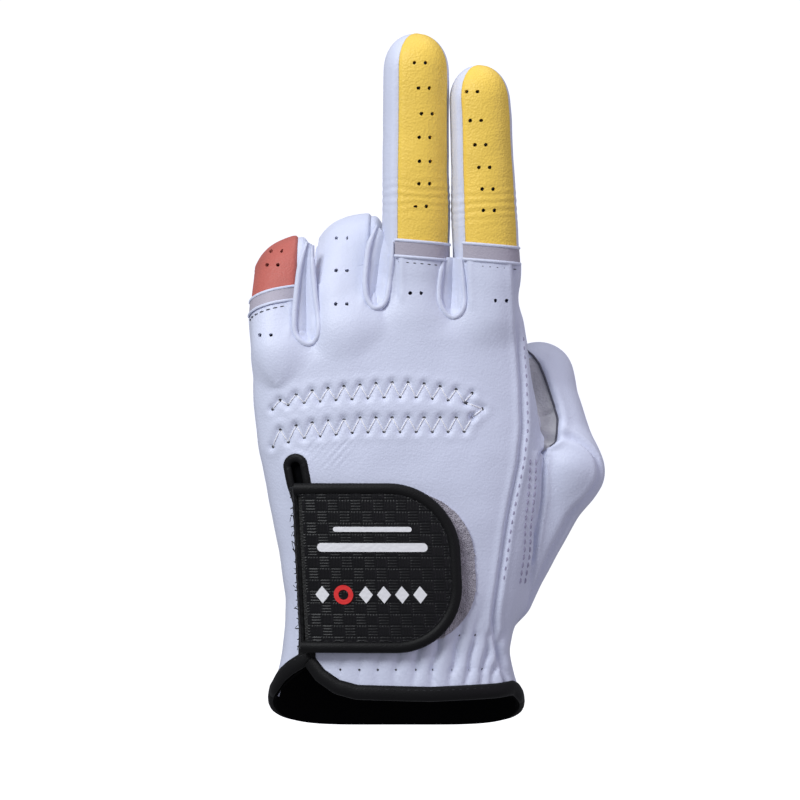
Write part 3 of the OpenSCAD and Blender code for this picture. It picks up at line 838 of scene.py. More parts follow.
def leather_piece(name, mesh, material, body, replaces=(), holes=()):
    points, faces = punched(*without_crumbs(*mesh), holes, 0)
    points = relieved(points, HAND_SEAMS)
    mesh = thickened(points, faces, vertex_normals(points, faces), LEATHER)
    to_object(name, mesh, material, body, replaces)


def build_body():
    spacing = 1.5
    points, quads = surface_nets(body_field, (-50, -24, -8), (68, 48, 152), spacing)
    points = project(body_field, points, 5)
    points = relax(points, quads, body_field, 3)
    points, quads = split_quads(points, quads, body_field)
    return points, outward(points, triangles(quads))


def part(mesh, field, side=-1):
    """The part of a mesh where the field is negative (side -1) or positive (side 1)."""
    points, faces = mesh
    return clip(points, faces, field(points) * -side)


above_knuckles = lambda p: knuckle_height(p) - p[:, 2]
on_back = lambda p: np.maximum(p[:, 0] - side_seam(p[:, 2]), p[:, 1] - ULNAR_SEAM_Y)
on_strip = lambda p: np.maximum(side_seam(p[:, 2]) - p[:, 0], p[:, 1] - STRIP_Y)
over_cuff = lambda p: cuff_height(p[:, 0], p[:, 1]) - p[:, 2]


def slit(p):
    """Negative inside the slit: a narrow gap with a round top that widens at its foot."""
    x, y, z = p.T
    width = 1.2 + 0.9 * smoothstep(64, 74, z)
    top = np.hypot(x - SLIT_TOP[0], z - SLIT_TOP[1]) - 2.1
    d = np.where(z > SLIT_TOP[1], top, np.abs(x - slit_axis(z)) - width)
    return np.where((y < 0) & (z > 15), d, 20.0)


print("building the hand")
hand_mesh = part(build_body(), over_cuff)
thumb_mesh = part(hand_mesh, thumb_side)
hand_mesh = part(hand_mesh, thumb_side, 1)
stumps = part(hand_mesh, above_knuckles)
hand_mesh = part(hand_mesh, above_knuckles, 1)

back_mesh = part(part(hand_mesh, on_back), slit, 1)
rest = part(hand_mesh, on_back, 1)
strip_mesh = part(rest, on_strip)
palm_mesh = part(rest, on_strip, 1)

side_line = lambda p: np.where(p[:, 1] < STRIP_Y, p[:, 0] - side_seam(p[:, 2]), NOWHERE)
ulnar_line = lambda p: np.where(p[:, 0] < 0, p[:, 1] - ULNAR_SEAM_Y, NOWHERE)
slit_line = lambda p: np.maximum(slit(p), 0)
# The thumb's seam fades out at the gusset's foot
thumb_line = lambda p: np.abs(thumb_side(p)) + 9 * (1 - smoothstep(40, 50, p[:, 2]))
HAND_SEAMS = [side_line, ulnar_line, slit_line, thumb_line]

leather_piece("back_leather", back_mesh, WHITE, "hand", ("back_panel", "ulnar_panel"))
leather_piece("index_side_leather", strip_mesh, WHITE, "hand", ("index_side_strip",))
leather_piece("palm_leather", palm_mesh, PEARL, "hand", ("palm_panel",))


def finger_base(name):
    """The leather at a finger's root, nearest to that finger, in a back and a palm half."""
    others = [f for other, f in FINGERS.items() if other != name]
    mesh = part(stumps, lambda p: FINGERS[name].field(p) - np.min([f.field(p) for f in others], axis=0))
    start, normal, length = root_plane(name)
    mesh = part(mesh, lambda p: (p - start) @ normal - length - BASE_OVERLAP)
    window = ("hand", f"{name}_lower", start, start + normal * length)
    split_y = lambda p: p[:, 1] - ULNAR_SEAM_Y
    leather_piece(f"{name}_base_back", part(mesh, split_y), WHITE, window, holes=BASE_HOLES[name])
    leather_piece(f"{name}_base_palm", part(mesh, split_y, 1), PEARL, window)


for name in ORDER:
    finger_base(name)

# Leather behind the thumb's root, so that no gap opens there when the thumb swings out
z, th = flat_mesh(np.linspace(40, 112, 50), np.linspace(-62, 96, 48))
points = hand_point(z, th, -2.5)
sheet_piece("thumb_root_lining", points, grid_faces(50, 48), vec(1, 0, 0), 0.4, SHADED_GUSSET, "hand")

# Thumb
thumb_way = unit(thumb_knuckle - thumb_root)
thumb_cut = lambda p: (p - thumb_root) @ thumb_way - 17.0


def in_gusset(p):
    """Negative between the thumb's seam and the hand, above the crotch's corner."""
    x, y, z = p.T
    return np.maximum(np.maximum(x - thumb_seam(z), GUSSET_LOW - z), y - 14)


lower_thumb = part(thumb_mesh, thumb_cut)
upper_thumb = part(thumb_mesh, thumb_cut, 1)
root_low, root_way = vec(46, 5, 74), unit(vec(0.3, 0.15, 0.94))
root_window = ("hand", "thumb_lower", root_low, root_low + root_way * 17)
bend_way = unit(thumb_way + unit(thumb_tip - thumb_knuckle))
tip_window = ("thumb_lower", "thumb_upper", thumb_knuckle - bend_way * 9, thumb_knuckle + bend_way * 9)
# The gusset pieces take the grey that carries painted shade of the thumb's crotch
leather_piece("thumb_gusset_leather", part(lower_thumb, in_gusset), SHADED_GUSSET, root_window,
              ("thumb_gusset_back", "thumb_gusset_palm"))
leather_piece("thumb_side_leather", part(lower_thumb, in_gusset, 1), WHITE, root_window,
              ("thumb_lower_back", "thumb_lower_sides"))
leather_piece("thumb_tip_leather", part(upper_thumb, in_gusset, 1), WHITE, tip_window,
              ("thumb_lower_palm", "thumb_upper_back", "thumb_upper_palm", "thumb_upper_sides"))
leather_piece("thumb_gusset_top", part(upper_thumb, in_gusset), SHADED_GUSSET, tip_window)


# ---------------------------------------------------------------- finger sleeves
def sleeve_start(f, th):
    """Distance along the tube where it leaves the finger's base, at each angle round it."""
    start, normal, length = root_plane(f.name)
    foot = f.at(np.zeros_like(th), th)
    return (length + BASE_OVERLAP - (foot - start) @ normal) / (f.w0 @ normal)


def sleeve_relief(f, p, s, edge):
    """Noise, the groove along the seams (edge is the distance from them) and wrinkles over the joint."""
    d = leather_noise(p)
    if edge is not None:
        d = d - 0.55 * bump(edge, 0.8) + 0.16 * bump(edge - 2.0, 1.2)
    flat = 1 - smoothstep(f.length - 16, f.length - 4, s)
    wrinkles = np.sin(s * 2.6 + 2.0 * value_noise(p, 6.0)) * bump(s - f.lower - 2, 5)
    return d * (0.35 + 0.65 * flat) + 0.10 * wrinkles


def sleeve_piece(name, f, span, begin, material, body, replaces=(), rows=110, holes=()):
    """A strip of a finger's wall between two angles round it, seamed along both sides."""
    th0, th1 = span
    arc = abs(math.radians(th1 - th0)) * f.half
    cols = max(6, int(arc / (0.55 if holes else 0.9)))
    i, j = flat_mesh(np.linspace(0, 1, rows), np.linspace(0, 1, cols))
    th = mix(th0, th1, j)
    s = mix(begin(th), f.length - 0.02, i)
    relief = sleeve_relief(f, f.at(s, th), s, np.minimum(j, 1 - j) * arc)
    # A hair's gap between neighbouring strips
    gap = 0.04 / arc * (th1 - th0)
    th = mix(th0 + gap, th1 - gap, j)
    points = f.at(s, th, relief)
    faces, _ = facing(points, grid_faces(rows, cols), points - f.at(s, th, -4.0))
    points, faces = punched(points, faces, holes, f.root[1] + 14)
    mesh = thickened(points, faces, vertex_normals(points, faces), LEATHER)
    to_object(name, mesh, material, body, replaces)


def base_lining(name, f, window):
    """The fourchettes' feet, hidden inside the finger's base until the finger bends."""
    rows, cols = 16, int(2 * math.pi * f.half / 0.9)
    i, j = flat_mesh(np.linspace(0, 1, rows), np.linspace(0, 1, cols))
    th = mix(-180, 180, j)
    s = mix(4.0, ROOT_WINDOW[name] - 1.0, i)
    points = f.at(s, th, sleeve_relief(f, f.at(s, th), s, None) - 2.2)
    away = points - f.at(s, th, -4.0)
    sheet_piece(f"{name}_base_lining", points, grid_faces(rows, cols), away, 0.4, WHITE, window)


def bend_window(name, f):
    """The stretch over which a finger's sleeve bends at its middle joint."""
    if f.bend:
        way, before, after = unit(f.w0 + np.cos(f.bend) * f.w0 + np.sin(f.bend) * f.v0), 7, 8
    else:
        way, before, after = f.w0, 10, 10
    return f"{name}_lower", f"{name}_upper", f.knuckle - way * before, f.knuckle + way * after


BACK_COLOR = {"index": YELLOW, "middle": YELLOW, "ring": WHITE, "little": RED}
PALM_SPAN = (38, 142)
print("building the fingers")
for name, f in FINGERS.items():
    start, normal, length = root_plane(name)
    begin = lambda th, f=f: sleeve_start(f, th)
    outer = bend_window(name, f)
    sleeve_piece(f"{name}_back", f, f.back, begin, BACK_COLOR[name], outer,
                 (f"{name}_lower_back", f"{name}_upper_back"), rows=150, holes=HOLES[name])
    sleeve_piece(f"{name}_palm", f, PALM_SPAN, begin, PEARL, outer,
                 (f"{name}_lower_palm", f"{name}_upper_palm"))
    sleeve_piece(f"{name}_fourchette_thumb_side", f, (f.back[1], PALM_SPAN[0]), begin, WHITE, outer,
                 (f"{name}_lower_fourchettes", f"{name}_upper_fourchettes"))
    sleeve_piece(f"{name}_fourchette_little_side", f, (PALM_SPAN[1], f.back[0] + 360), begin, WHITE, outer)
    base_lining(name, f, ("hand", f"{name}_lower", start, start + normal * length))


# ---------------------------------------------------------------- pieces laid on the leather
def skin(x, z, lift=0.0):
    """Points on the leather seen straight from the back at (x, z), raised by lift, and their normals."""
    x, z = np.broadcast_arrays(np.asarray(x, float), np.asarray(z, float))
    p = np.stack([x.ravel(), np.full(x.size, -30.0), z.ravel()], 1)
    for _ in range(60):
        p[:, 1] += np.clip(body_field(p), 0, 1.5)
    p = project(body_field, p, 2)
    normal = unit(gradient(body_field, p))
    return p + normal * (body_relief(p) + finger_seams(p) + lift)[:, None], normal


def dashes(path, normals, stitch, gap, radius, rise=0.22):
    """A row of stitches along a path: short humped threads with a gap after each."""
    steps = np.linalg.norm(np.diff(path, axis=0), axis=1)
    run = np.concatenate([[0], np.cumsum(steps)])
    normals = np.broadcast_to(normals, path.shape)
    along = lambda rows, s: np.stack([np.interp(s, run, rows[:, k]) for k in range(3)], -1)
    arch = np.sin(np.linspace(0, math.pi, 5))
    parts = []
    for begin in np.arange(0.2, run[-1] - stitch, stitch + gap):
        s = np.linspace(begin, begin + stitch, 5)
        up = unit(along(normals, s))
        p = along(path, s) + up * (rise * arch - 0.12)[:, None]
        parts.append(tube(p, radius * (0.75 + 0.35 * arch), 6, normal=up))
    return joined(parts)


def spots(centres, normals, radius, sunk=0.16):
    """Small dark discs: painted shade in needle holes seen from outside."""
    sides = 10
    a = np.linspace(0, 2 * math.pi, sides, endpoint=False)
    fan = np.array([[sides, k, (k + 1) % sides] for k in range(sides)])
    parts = []
    for c, n in zip(centres, normals):
        u = unit(np.cross(n, vec(0.2, 0.1, 1)))
        v = np.cross(n, u)
        middle = c + n * sunk
        ring = middle + np.outer(np.cos(a), u) * radius + np.outer(np.sin(a), v) * radius
        parts.append((np.concatenate([ring, middle[None]]), fan))
    points, faces = joined(parts)
    flip = face_normals(points, faces)[:, 1] > 0
    faces[flip] = faces[flip][:, ::-1]
    return points, faces


def zigzag_thread(corners, run=8):
    """One thread from each needle hole to the next, humped in its middle."""
    fine = np.concatenate([np.linspace(a, b, run) for a, b in zip(corners[:-1], corners[1:])])
    p, n = skin(fine[:, 0], fine[:, 1], 0.06)
    hump = 0.12 * np.sin(np.linspace(0, math.pi, run))[:, None]
    spans = [slice(k, k + run) for k in range(0, len(p), run)]
    return [tube(p[k] + n[k] * hump, 0.21, 6, normal=n[k]) for k in spans]


print("building the small pieces")
threads = [thread for corners in ZIGZAGS for thread in zigzag_thread(corners)]
closed_piece("knuckle_zigzag_stitches", joined(threads), THREAD, "hand", ("knuckle_zigzag_thread",))
needle_holes = np.concatenate(ZIGZAGS)
holes = spots(*skin(needle_holes[:, 0], needle_holes[:, 1]), 0.5, 0.34)
to_object("knuckle_needle_hole_shade", holes, HOLE_SHADE, "hand")


def seam_stitches(name, x, z, stitch, gap):
    """A row of stitches on the skin beside a seam, their thread darkened with painted shade of the sunk
    stitches.
    """
    closed_piece(name, dashes(*skin(x, z), stitch, gap, 0.30), SHADED_SEAM_THREAD, "hand")


z = np.linspace(44, 118, 120)
seam_stitches("side_seam_stitches", side_seam(z) + 1.3, z, 1.8, 1.0)
z = np.linspace(43, 81, 70)
seam_stitches("thumb_seam_stitches_outer", thumb_seam(z) - 1.9, z, 1.6, 0.8)
seam_stitches("thumb_seam_stitches_inner", thumb_seam(z) - 3.4, z, 1.6, 0.8)

# A thin dark cord along the gusset's seam: painted shadow under the turned edge
z = np.linspace(84.5, 113.5, 50)
p, n = skin(thumb_seam(z), z, 0.25)
closed_piece("thumb_crotch_painted_shadow", tube(p, 0.34, 8, normal=n), CROTCH_SHADOW_LINE, "thumb_lower")

# Painted shade in the needle holes of the wrist's elastic; the tab hides the upper row's first ones
wrist_marks = [(fold_x(start, height), height) for height in WRIST_STITCH_ROWS for start in WRIST_FOLDS]
wrist_marks = np.array([m for m in wrist_marks if m[0] > -2 or m[1] < 20])
to_object("wrist_needle_hole_shade", spots(*skin(wrist_marks[:, 0], wrist_marks[:, 1]), 0.34), HOLE_SHADE, "hand")


# Web tongues: the rolled foot of the two fourchettes that meet between fingers
def curve(points, count):
    """A smooth run through the points."""
    points = np.array(points, float)
    fine = np.linspace(0, len(points) - 1, count)
    k = np.clip(fine.astype(int), 0, len(points) - 2)
    f = (fine - k)[:, None]
    padded = np.concatenate([[2 * points[0] - points[1]], points, [2 * points[-1] - points[-2]]])
    a, b, c, d = padded[k], padded[k + 1], padded[k + 2], padded[k + 3]
    square, cube = 2 * a - 5 * b + 4 * c - d, 3 * b - a - 3 * c + d
    return 0.5 * (2 * b + (c - a) * f + square * f ** 2 + cube * f ** 3)


WEB_RIMS = {
    "little_ring": [(-27.0, 146.0), (-29.0, 139.8), (-30.2, 131.4), (-30.9, 122.4), (-30.3, 117.9),
                    (-27.3, 115.2), (-24.4, 116.5), (-23.5, 121.0), (-24.6, 129.9), (-25.4, 139.0),
                    (-25.6, 145.0)],
    "ring_middle": [(-6.0, 151.0), (-8.4, 144.9), (-9.4, 137.4), (-9.6, 132.9), (-8.8, 128.4), (-6.6, 126.0),
                    (-3.7, 127.6), (-2.4, 132.9), (-1.6, 139.8), (-1.2, 146.0)],
    "middle_index": [(14.2, 141.5), (13.2, 137.0), (12.6, 131.8), (12.9, 127.6), (14.8, 124.3), (17.2, 123.3),
                     (19.5, 125.0), (20.3, 128.5), (20.0, 133.0), (19.4, 141.0)],
}


def fold_grid(left, right, rows, cols):
    """Two leaves between the legs of a web's rim, meeting in a fold that deepens as the legs part."""
    grid = []
    last = len(left) - 1
    along = lambda leg, k: np.array([np.interp(k, np.arange(last + 1), leg[:, c]) for c in range(3)])
    for i in range(rows):
        k = i * last / (rows - 1)
        a, b = along(left, k), along(right, k)
        wide = np.linalg.norm(b - a)
        for j in np.linspace(0, 1, cols):
            fold = min(0.30 * wide, 2.4) * (1 - abs(2 * j - 1)) ** 1.3
            shoulder = 0.35 * math.sin(math.pi * min(1, 4 * min(j, 1 - j)))
            grid.append(mix(a, b, j) + vec(0, fold + shoulder, 0))
    return np.array(grid)


def tongue(name, rim_points):
    """A web's rolled edge and the leaves inside it."""
    half = 30
    count = 2 * half + 1
    rim = curve(rim_points, count)
    low = rim[np.argmin(rim[:, 1])]
    foot, _ = skin(low[0], low[1])
    front, n = skin(rim[:, 0], rim[:, 1], 0.1)
    # The rim follows the skin, but goes no deeper than a line that leans back from its foot
    far_back = foot[0, 1] + np.interp(rim[:, 1] - low[1], [0, 6, 14, 30], [0.0, 0.8, 2.2, 4.6])
    p = np.stack([rim[:, 0], np.minimum(front[:, 1], far_back), rim[:, 1]], 1)
    n = unit(mix(n, TO_BACK, 0.6))
    ends = 0.3 + 0.7 * np.clip((1 - np.abs(np.linspace(-1, 1, count))) * 5, 0, 1)
    closed_piece(f"{name}_rolled_edge", tube(p, 0.85 * ends, 10, normal=n), WHITE, "hand")
    rows, cols = 30, 15
    grid = fold_grid(p[half::-1], p[half:], rows, cols)
    sheet_piece(f"{name}_tongue", grid, grid_faces(rows, cols), TO_BACK, 0.8, WHITE, "hand", (f"web_{name}",))


for name, rim_points in WEB_RIMS.items():
    tongue(name, rim_points)


def band_strip(f, label, begin, width, lift, crown, material, replaces=()):
    """A strip across a finger's coloured back; crown rounds it."""
    rows, cols = 6, 34
    i, j = flat_mesh(np.linspace(0, 1, rows), np.linspace(0, 1, cols))
    th = mix(f.back[0] - 1.5, f.back[1] + 1.5, j)
    s = sleeve_start(f, th) + begin + i * width
    points = f.at(s, th, lift + crown * np.sin(math.pi * i) + leather_noise(f.at(s, th)))
    name = f"{f.name}_{label}"
    sheet_piece(name, points, grid_faces(rows, cols), TO_BACK, 0.75, material, f"{f.name}_lower", replaces)


def finger_band(f):
    """A printed band at the foot of a coloured back, between thin white edges, and the stitches under it."""
    band_strip(f, "band", 0.5, 3.9, 0.42, 0.0, GREY, (f"{f.name}_band",))
    band_strip(f, "band_edge_low", -0.4, 0.9, 0.54, 0.25, WHITE)
    band_strip(f, "band_edge_high", 4.4, 0.9, 0.54, 0.25, WHITE)
    th = np.linspace(f.back[0] + 3, f.back[1] - 3, 60)
    s = sleeve_start(f, th) - 1.7
    p = f.at(s, th, leather_noise(f.at(s, th)) + 0.05)
    n = unit(f.at(s, th, 1.0) - f.at(s, th, 0.0))
    stitches = dashes(p, n, 1.3, 0.9, 0.14, 0.16)
    closed_piece(f"{f.name}_band_stitches", stitches, BLACK_THREAD, f"{f.name}_lower")


for name in ("index", "middle", "little"):
    finger_band(FINGERS[name])

# ---------------------------------------------------------------- closure tab
TAB_L, TAB_H, TAB_MID, TAB_R = 49.2, 50.6, 48.2, 20.5
hinge_line = line([[15, -28.4], [22.5, -28.8], [73.5, -31.3], [85, -31.9]])


def loft_back(x, z, lift):
    """A point on the back of the hand's bare section."""
    t = np.clip(np.abs(x - hand_centre(z)) / (hand_half(z) + lift), 0, 0.985)
    y = -(hand_depth(z) + lift) * (1 - t ** HAND_N) ** (1 / HAND_N)
    return np.stack([x, y, z], -1)


def tab_at(d, h, lift):
    """A point of the tab: distance d from its sewn edge, height h from its middle, raised by lift."""
    z = TAB_MID + h
    p = loft_back(hinge_line(z) + d, z, lift)
    flat = 1.4 * np.clip(1 - d / 16, 0, 1)
    p[..., 1] -= flat + 0.5 * np.clip(d / TAB_L, 0, 1) ** 2 + 0.5 * (1 - (h / TAB_H * 2) ** 2)
    return p


def rounded_box(x, y, half_x, half_y, radius):
    """Distance outside a box with round corners, about the origin."""
    qx = np.abs(x) - half_x + radius
    qy = np.abs(y) - half_y + radius
    return np.hypot(np.maximum(qx, 0), np.maximum(qy, 0)) + np.minimum(np.maximum(qx, qy), 0) - radius


def tab_edge(d, h):
    """Distance outside the tab's outline: square corners at its sewn edge, round ones at its end."""
    radius = np.where(d > TAB_L / 2, TAB_R, 3.0)
    return rounded_box(d - TAB_L / 2, h, TAB_L / 2, TAB_H / 2, radius)


def flat_grid(d0, d1, half_height, step):
    d, h = np.arange(d0, d1 + step, step), np.arange(-half_height, half_height + step, step)
    return *flat_mesh(d, h), grid_faces(len(d), len(h))


def basket(d, h):
    """Height of a basket-weave emboss: blocks of four ribs, turned a quarter from one block to the next."""
    block, ribs_across = 3.4, 4
    i, j = np.floor(d / block), np.floor(h / block)
    u, v = d / block - i, h / block - j
    along = (i + j) % 2 < 1
    across = np.where(along, v, u)
    ribs = 0.5 - 0.5 * np.cos(across * 2 * math.pi * ribs_across)
    border = np.minimum(np.minimum(u, 1 - u), np.minimum(v, 1 - v)) * block
    return (0.06 + 0.20 * ribs) * smoothstep(0.0, 0.35, border)


def tab_layer(name, inset, lift, material, thickness, step, replaces, relief=None):
    """A layer of the tab, inset from its outline."""
    d, h, faces = flat_grid(0.3, TAB_L, TAB_H / 2, step)
    points = tab_at(d, h, lift + (relief(d, h) if relief else 0))
    points, faces = clip(points, faces, tab_edge(d, h) + inset)
    faces, _ = facing(points, faces, TO_BACK)
    to_object(name, thickened(points, faces, TO_BACK, thickness), material, "closure_tab", replaces)


def tab_border(inset, begin, lift):
    """Path inside the tab's outline: out along its top, round the end and back along its foot."""
    radius = TAB_R - inset
    turn = np.radians(np.linspace(-90, 0, 22))
    arc_d = TAB_L - TAB_R + radius * np.cos(turn)
    arc_h = TAB_H / 2 - TAB_R - radius * np.sin(turn)
    straight = np.linspace(begin, TAB_L - TAB_R - 0.5, 26)
    level = np.full(26, TAB_H / 2 - inset)
    d = np.concatenate([straight, arc_d, arc_d[::-1], straight[::-1]])
    h = np.concatenate([level, arc_h, -arc_h[::-1], -level])
    return tab_at(d, h, lift)


COVER_LIFT = 3.0
emboss_step = 0.21
tab_layer("tab_embossed_cover", 2.6, COVER_LIFT, COVER, 1.1, emboss_step, ("tab_cover",), basket)
tab_layer("tab_lining", 1.6, COVER_LIFT - 1.2, HOOK, 0.5, 1.0, ("tab_hook_pad",))
rolled = tube(tab_border(1.7, 0.6, COVER_LIFT - 0.55), 1.75, 14, flat=0.78, normal=TO_BACK)
closed_piece("tab_rolled_edge", rolled, BINDING, "closure_tab", ("tab_binding",))
stitches = dashes(tab_border(3.5, 1.5, COVER_LIFT + 0.08), TO_BACK, 1.6, 0.8, 0.16)
closed_piece("tab_edge_stitches", stitches, BLACK_THREAD, "closure_tab")


# Plain printed marks where the maker's print was: two bars, and a row of lozenges round a red ring
def mark(outline, inner=None):
    """A flat raised shape on the tab from its outline (d, h), with a hole if inner is given."""
    d, h = outline.T
    n = len(d)
    centre = np.tile(outline.mean(0), (n, 1)) if inner is None else inner
    top = tab_at(d, h, COVER_LIFT + 0.42)
    low = tab_at(d, h, COVER_LIFT - 0.1)
    middle = tab_at(centre[:, 0], centre[:, 1], COVER_LIFT + 0.42)
    k = np.arange(n)
    m = (k + 1) % n
    faces = [np.stack([k, m, m + n], 1), np.stack([k, m + n, k + n], 1),
             np.stack([k, k + 2 * n, m + 2 * n], 1), np.stack([k, m + 2 * n, m], 1)]
    return np.concatenate([top, low, middle]), np.concatenate(faces)


def pill(d0, d1, h, high):
    """Outline of a bar with round ends, and the run of its middle line."""
    r = high / 2
    a = np.radians(np.linspace(90, 270, 12))
    run = np.linspace(d0 + r, d1 - r, 24)[1:-1]
    outline = np.concatenate([
        np.stack([d0 + r + r * np.cos(a), h + r * np.sin(a)], 1), np.stack([run, 0 * run + h - r], 1),
        np.stack([d1 - r - r * np.cos(a), h - r * np.sin(a)], 1), np.stack([run[::-1], 0 * run + h + r], 1)])
    inner = np.stack([np.clip(outline[:, 0], d0 + r, d1 - r), 0 * outline[:, 0] + h], 1)
    return outline, inner


def marks(name, shapes, material):
    closed_piece(name, joined([mark(*shape) for shape in shapes]), material, "closure_tab")


ring_turn = np.radians(np.arange(0, 360, 15))
circle = lambda d, h, r: np.stack([d + r * np.cos(ring_turn), h + r * np.sin(ring_turn)], 1)
lozenge = lambda d, h, w, t: np.array([[d - w, h], [d, h - t], [d + w, h], [d, h + t]])
MARK_ROW = -7.9
lozenges = [(lozenge(d, MARK_ROW, 2.1, 2.6),) for d in (7.4, 20.4, 25.8, 31.2, 36.6)]
bars = [pill(11.5, 35.0, 11.6, 1.5), pill(6.5, 39.5, 6.2, 2.6)]
marks("tab_print_marks", bars + lozenges, PRINT_WHITE)
marks("tab_print_ring", [(circle(13.7, MARK_ROW, 2.9), circle(13.7, MARK_ROW, 1.5))], PRINT_RED)


def sewing_ends():
    """Stray ends of the thread whipped along the sewn edge."""
    hairs = []
    for k, h in enumerate(np.linspace(-TAB_H / 2 + 1.5, TAB_H / 2 - 1.5, 18)):
        d = np.linspace(0.1, -0.5 - 0.6 * rng.random(), 8)
        slant = 0.5 * rng.standard_normal() * np.linspace(0, 1, 8)
        hairs.append(tube(tab_at(d, h + slant, mix(1.0, 2.2, smoothstep(-0.9, 0.1, d))), 0.17, 6))
        if k % 2 == 0:
            d = np.linspace(-0.2, -0.8 - 0.7 * rng.random(), 7)
            curl = rng.standard_normal() * np.linspace(0, 1.2, 7) ** 2
            hairs.append(tube(tab_at(d, h + 1 + curl, 1.8 + 0.6 * rng.random()), 0.09, 5))
    return joined(hairs)


closed_piece("tab_sewing_ends", sewing_ends(), BLACK_THREAD, "hand")
h = np.linspace(-TAB_H / 2 + 1, TAB_H / 2 - 1, 60)
thread = tube(tab_at(0.15 + 0.08 * np.sin(h * 2.4), h, COVER_LIFT - 0.4), 0.42, 8)
closed_piece("tab_sewn_edge_thread", thread, BLACK_THREAD, "closure_tab", ("tab_hinge_thread",))


# Loop patch under the tab: a fuzzy pile whose rim shows round the tab's end
def patch():
    d, h, faces = flat_grid(14, TAB_L + 5, TAB_H / 2 - 1.0, 0.7)
    z = TAB_MID + h
    p, n = skin(hinge_line(z) + d, z)
    p = p + n * (0.75 + 0.25 * rng.standard_normal(len(p)) * 0.6)[:, None]
    points, faces = clip(p, faces, rounded_box(d - 33, h, 20.3, 22.6, 19.0))
    sheet_piece("loop_pile_patch", points, faces, TO_BACK, 0.9, PILE, "hand", ("loop_patch",))


patch()

# ---------------------------------------------------------------- slit and cuff edges
def slit_rim():
    """Path of the slit's rolled edge: up its little-finger side, round the top and down again."""
    turn = np.radians(np.linspace(188, -8, 25))
    up = np.linspace(20.5, SLIT_TOP[1] - 0.4, 40)
    down = up[::-1]
    gap = lambda z: 1.3 + 1.3 * smoothstep(62, 75, z) + 0.2 * (1 - smoothstep(20, 30, z))
    round_x, round_z = SLIT_TOP[0] + 2.6 * np.cos(turn), SLIT_TOP[1] + 2.6 * np.sin(turn)
    x = np.concatenate([slit_axis(up) - gap(up), round_x, slit_axis(down) + gap(down)])
    z = np.concatenate([up, round_z, down])
    return skin(x, z, 0.1)


p, n = slit_rim()
closed_piece("slit_rolled_edge", tube(p, 1.35, 10, flat=0.75, normal=n), BINDING, "hand", ("slit_binding",))
# A black sheet seen inside the slit
z, j = flat_mesh(np.linspace(21, 83, 40), np.linspace(-4.5, 4.5, 9))
p, n = skin(slit_axis(z) + j, z, -1.6)
closed_piece("slit_black_inner_sheet", thickened(p, grid_faces(40, 9), n, 0.5), BLACK_INSIDE, "hand")


def wrist_path(th, drop):
    """Points round the wrist opening, drop below the leather's edge."""
    p = hand_point(np.full_like(th, 12.0), th)
    for _ in range(4):
        p = hand_point(cuff_height(p[:, 0], p[:, 1]) - drop, th)
    return p


def wrist_normals(th):
    a = np.radians(th)
    return unit(np.stack([signed_power(np.cos(a), 0.9), signed_power(np.sin(a), 0.9) * 1.6, 0 * th], 1))


# The binding's two ends meet at the foot of the slit
SLIT_FOOT_ANGLE = -134.6
th = np.linspace(SLIT_FOOT_ANGLE, SLIT_FOOT_ANGLE + 360 - 0.4, 240)
n = wrist_normals(th)
closed_piece("cuff_rolled_edge", tube(wrist_path(th, 1.3), 2.25, 14, flat=0.52, normal=n), BINDING, "hand",
             ("cuff_binding",))
stitches = dashes(wrist_path(th, 0.2) + n * 1.0, n, 1.4, 0.8, 0.15)
closed_piece("cuff_edge_stitches", stitches, BLACK_THREAD, "hand")


def cuff_black_sheet():
    """A black sheet inside the whole cuff, deeper on the palm side."""
    rows, cols = 14, 120
    i, th = flat_mesh(np.linspace(0, 1, rows), np.linspace(-128, 218, cols))
    depth = mix(5.0, 27.0, smoothstep(-20, 30, th) * (1 - smoothstep(150, 200, th)))
    points = hand_point(wrist_path(th, 3.8)[:, 2] + i * depth, th, -1.55)
    away = -points * vec(1, 1, 0)
    faces = grid_faces(rows, cols)
    sheet_piece("cuff_black_inner_sheet", points, faces, away, 0.5, BLACK_INSIDE, "hand", ("cuff_facing",))


cuff_black_sheet()


def elastic(name, xs, zs, node):
    """A ribbed strip sewn inside the back's leather."""
    x, z = flat_mesh(xs, zs)
    p = loft_back(x, z, 0)
    normal = unit(gradient(body_field, p))
    points = p - normal * (1.55 + 0.12 * np.sin(z * 5))[:, None]
    strip = thickened(points, grid_faces(len(xs), len(zs)), normal, 0.5)
    closed_piece(name, strip, ELASTIC, "hand", (node,))


elastic("knuckle_elastic_strip", np.linspace(-34, 26, 60), np.linspace(89.5, 104, 12), "knuckle_elastic")
elastic("wrist_elastic_strip", np.linspace(2, 27, 30), np.linspace(18, 27, 8), "wrist_elastic")


# ---------------------------------------------------------------- stage
def area(name, where, size, power, color=(1, 1, 1)):
    light = bpy.data.lights.new(name, "AREA")
    light.energy, light.size, light.color = power, size, color
    lamp = bpy.data.objects.new(name, light)
    lamp.location = where
    lamp.rotation_euler = (Vector((0, 0, 0.1)) - Vector(where)).to_track_quat("-Z", "Y").to_euler()
    bpy.context.scene.collection.objects.link(lamp)


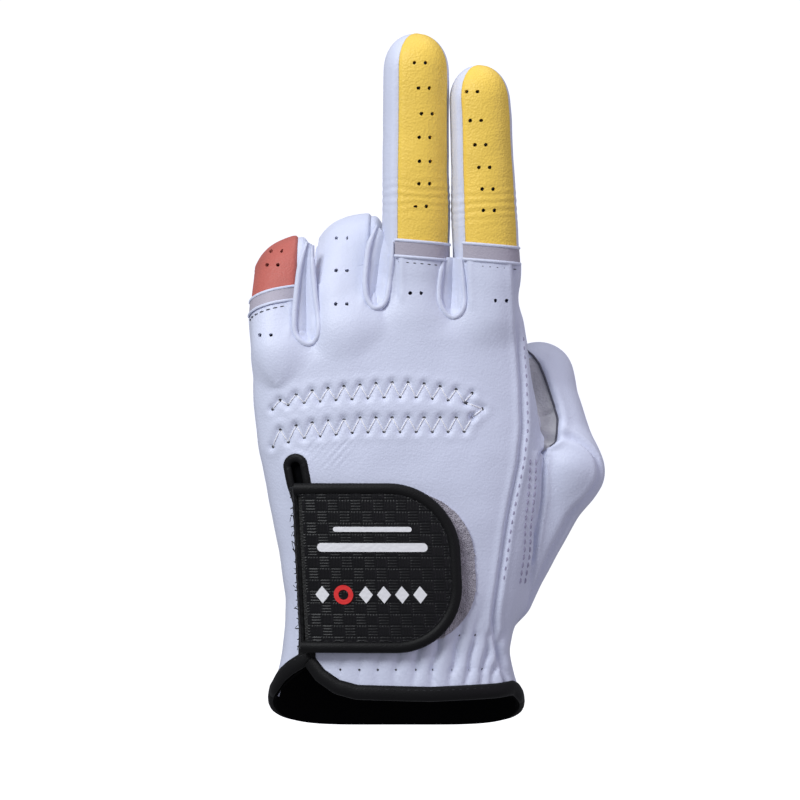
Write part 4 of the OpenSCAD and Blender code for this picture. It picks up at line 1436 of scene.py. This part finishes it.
def floor():
    """A plain pale floor whose own glow hides its edge; it lights nothing."""
    size, drop = 6.0, 0.05
    corners = [(-size, -size, -drop), (size, -size, -drop), (size, size, -drop), (-size, size, -drop)]
    mesh = bpy.data.meshes.new("floor")
    mesh.from_pydata(corners, [], [(0, 1, 2, 3)])
    material = bpy.data.materials.new("floor")
    material.use_nodes = True
    inputs = material.node_tree.nodes["Principled BSDF"].inputs
    inputs["Base Color"].default_value = (0.86, 0.86, 0.87, 1)
    inputs["Roughness"].default_value = 0.9
    inputs["Emission Color"].default_value = (1, 1, 1, 1)
    inputs["Emission Strength"].default_value = 0.80
    mesh.materials.append(material)
    plane = bpy.data.objects.new("floor", mesh)
    plane.visible_diffuse = False
    plane.visible_glossy = False
    bpy.context.scene.collection.objects.link(plane)


floor()
area("key", (-0.50, -0.66, 0.76), 0.42, 8.6, (0.95, 0.98, 1.0))
area("fill", (1.1, -0.7, 0.35), 0.8, 2.3, (0.88, 0.76, 1.0))
area("top", (0.2, 0.1, 1.2), 0.8, 4, (0.95, 0.96, 1.0))

# The camera sees a white world; the glove is lit by a dimmer one
world = bpy.data.worlds.new("studio")
bpy.context.scene.world = world
world.use_nodes = True
background = world.node_tree.nodes["Background"]
background.inputs["Color"].default_value = (0.90, 0.91, 1.0, 1)
ray = world.node_tree.nodes.new("ShaderNodeLightPath")
strength = world.node_tree.nodes.new("ShaderNodeMapRange")
strength.inputs["To Min"].default_value = 0.33
strength.inputs["To Max"].default_value = 1.15
world.node_tree.links.new(ray.outputs["Is Camera Ray"], strength.inputs["Value"])
world.node_tree.links.new(strength.outputs["Result"], background.inputs["Strength"])
bpy.context.scene.view_settings.view_transform = "Standard"

VIEW_WIDTH, FAR = 0.240, 1.6
camera = bpy.data.objects.new("camera", bpy.data.cameras.new("camera"))
bpy.context.scene.collection.objects.link(camera)
camera.location = (0.0009, -FAR, 0.0984)
camera.rotation_euler = (math.pi / 2, 0, 0)
camera.data.sensor_width = 36
camera.data.lens = 36 * (FAR - 0.01) / VIEW_WIDTH
camera.data.clip_end = 50
bpy.context.scene.camera = camera
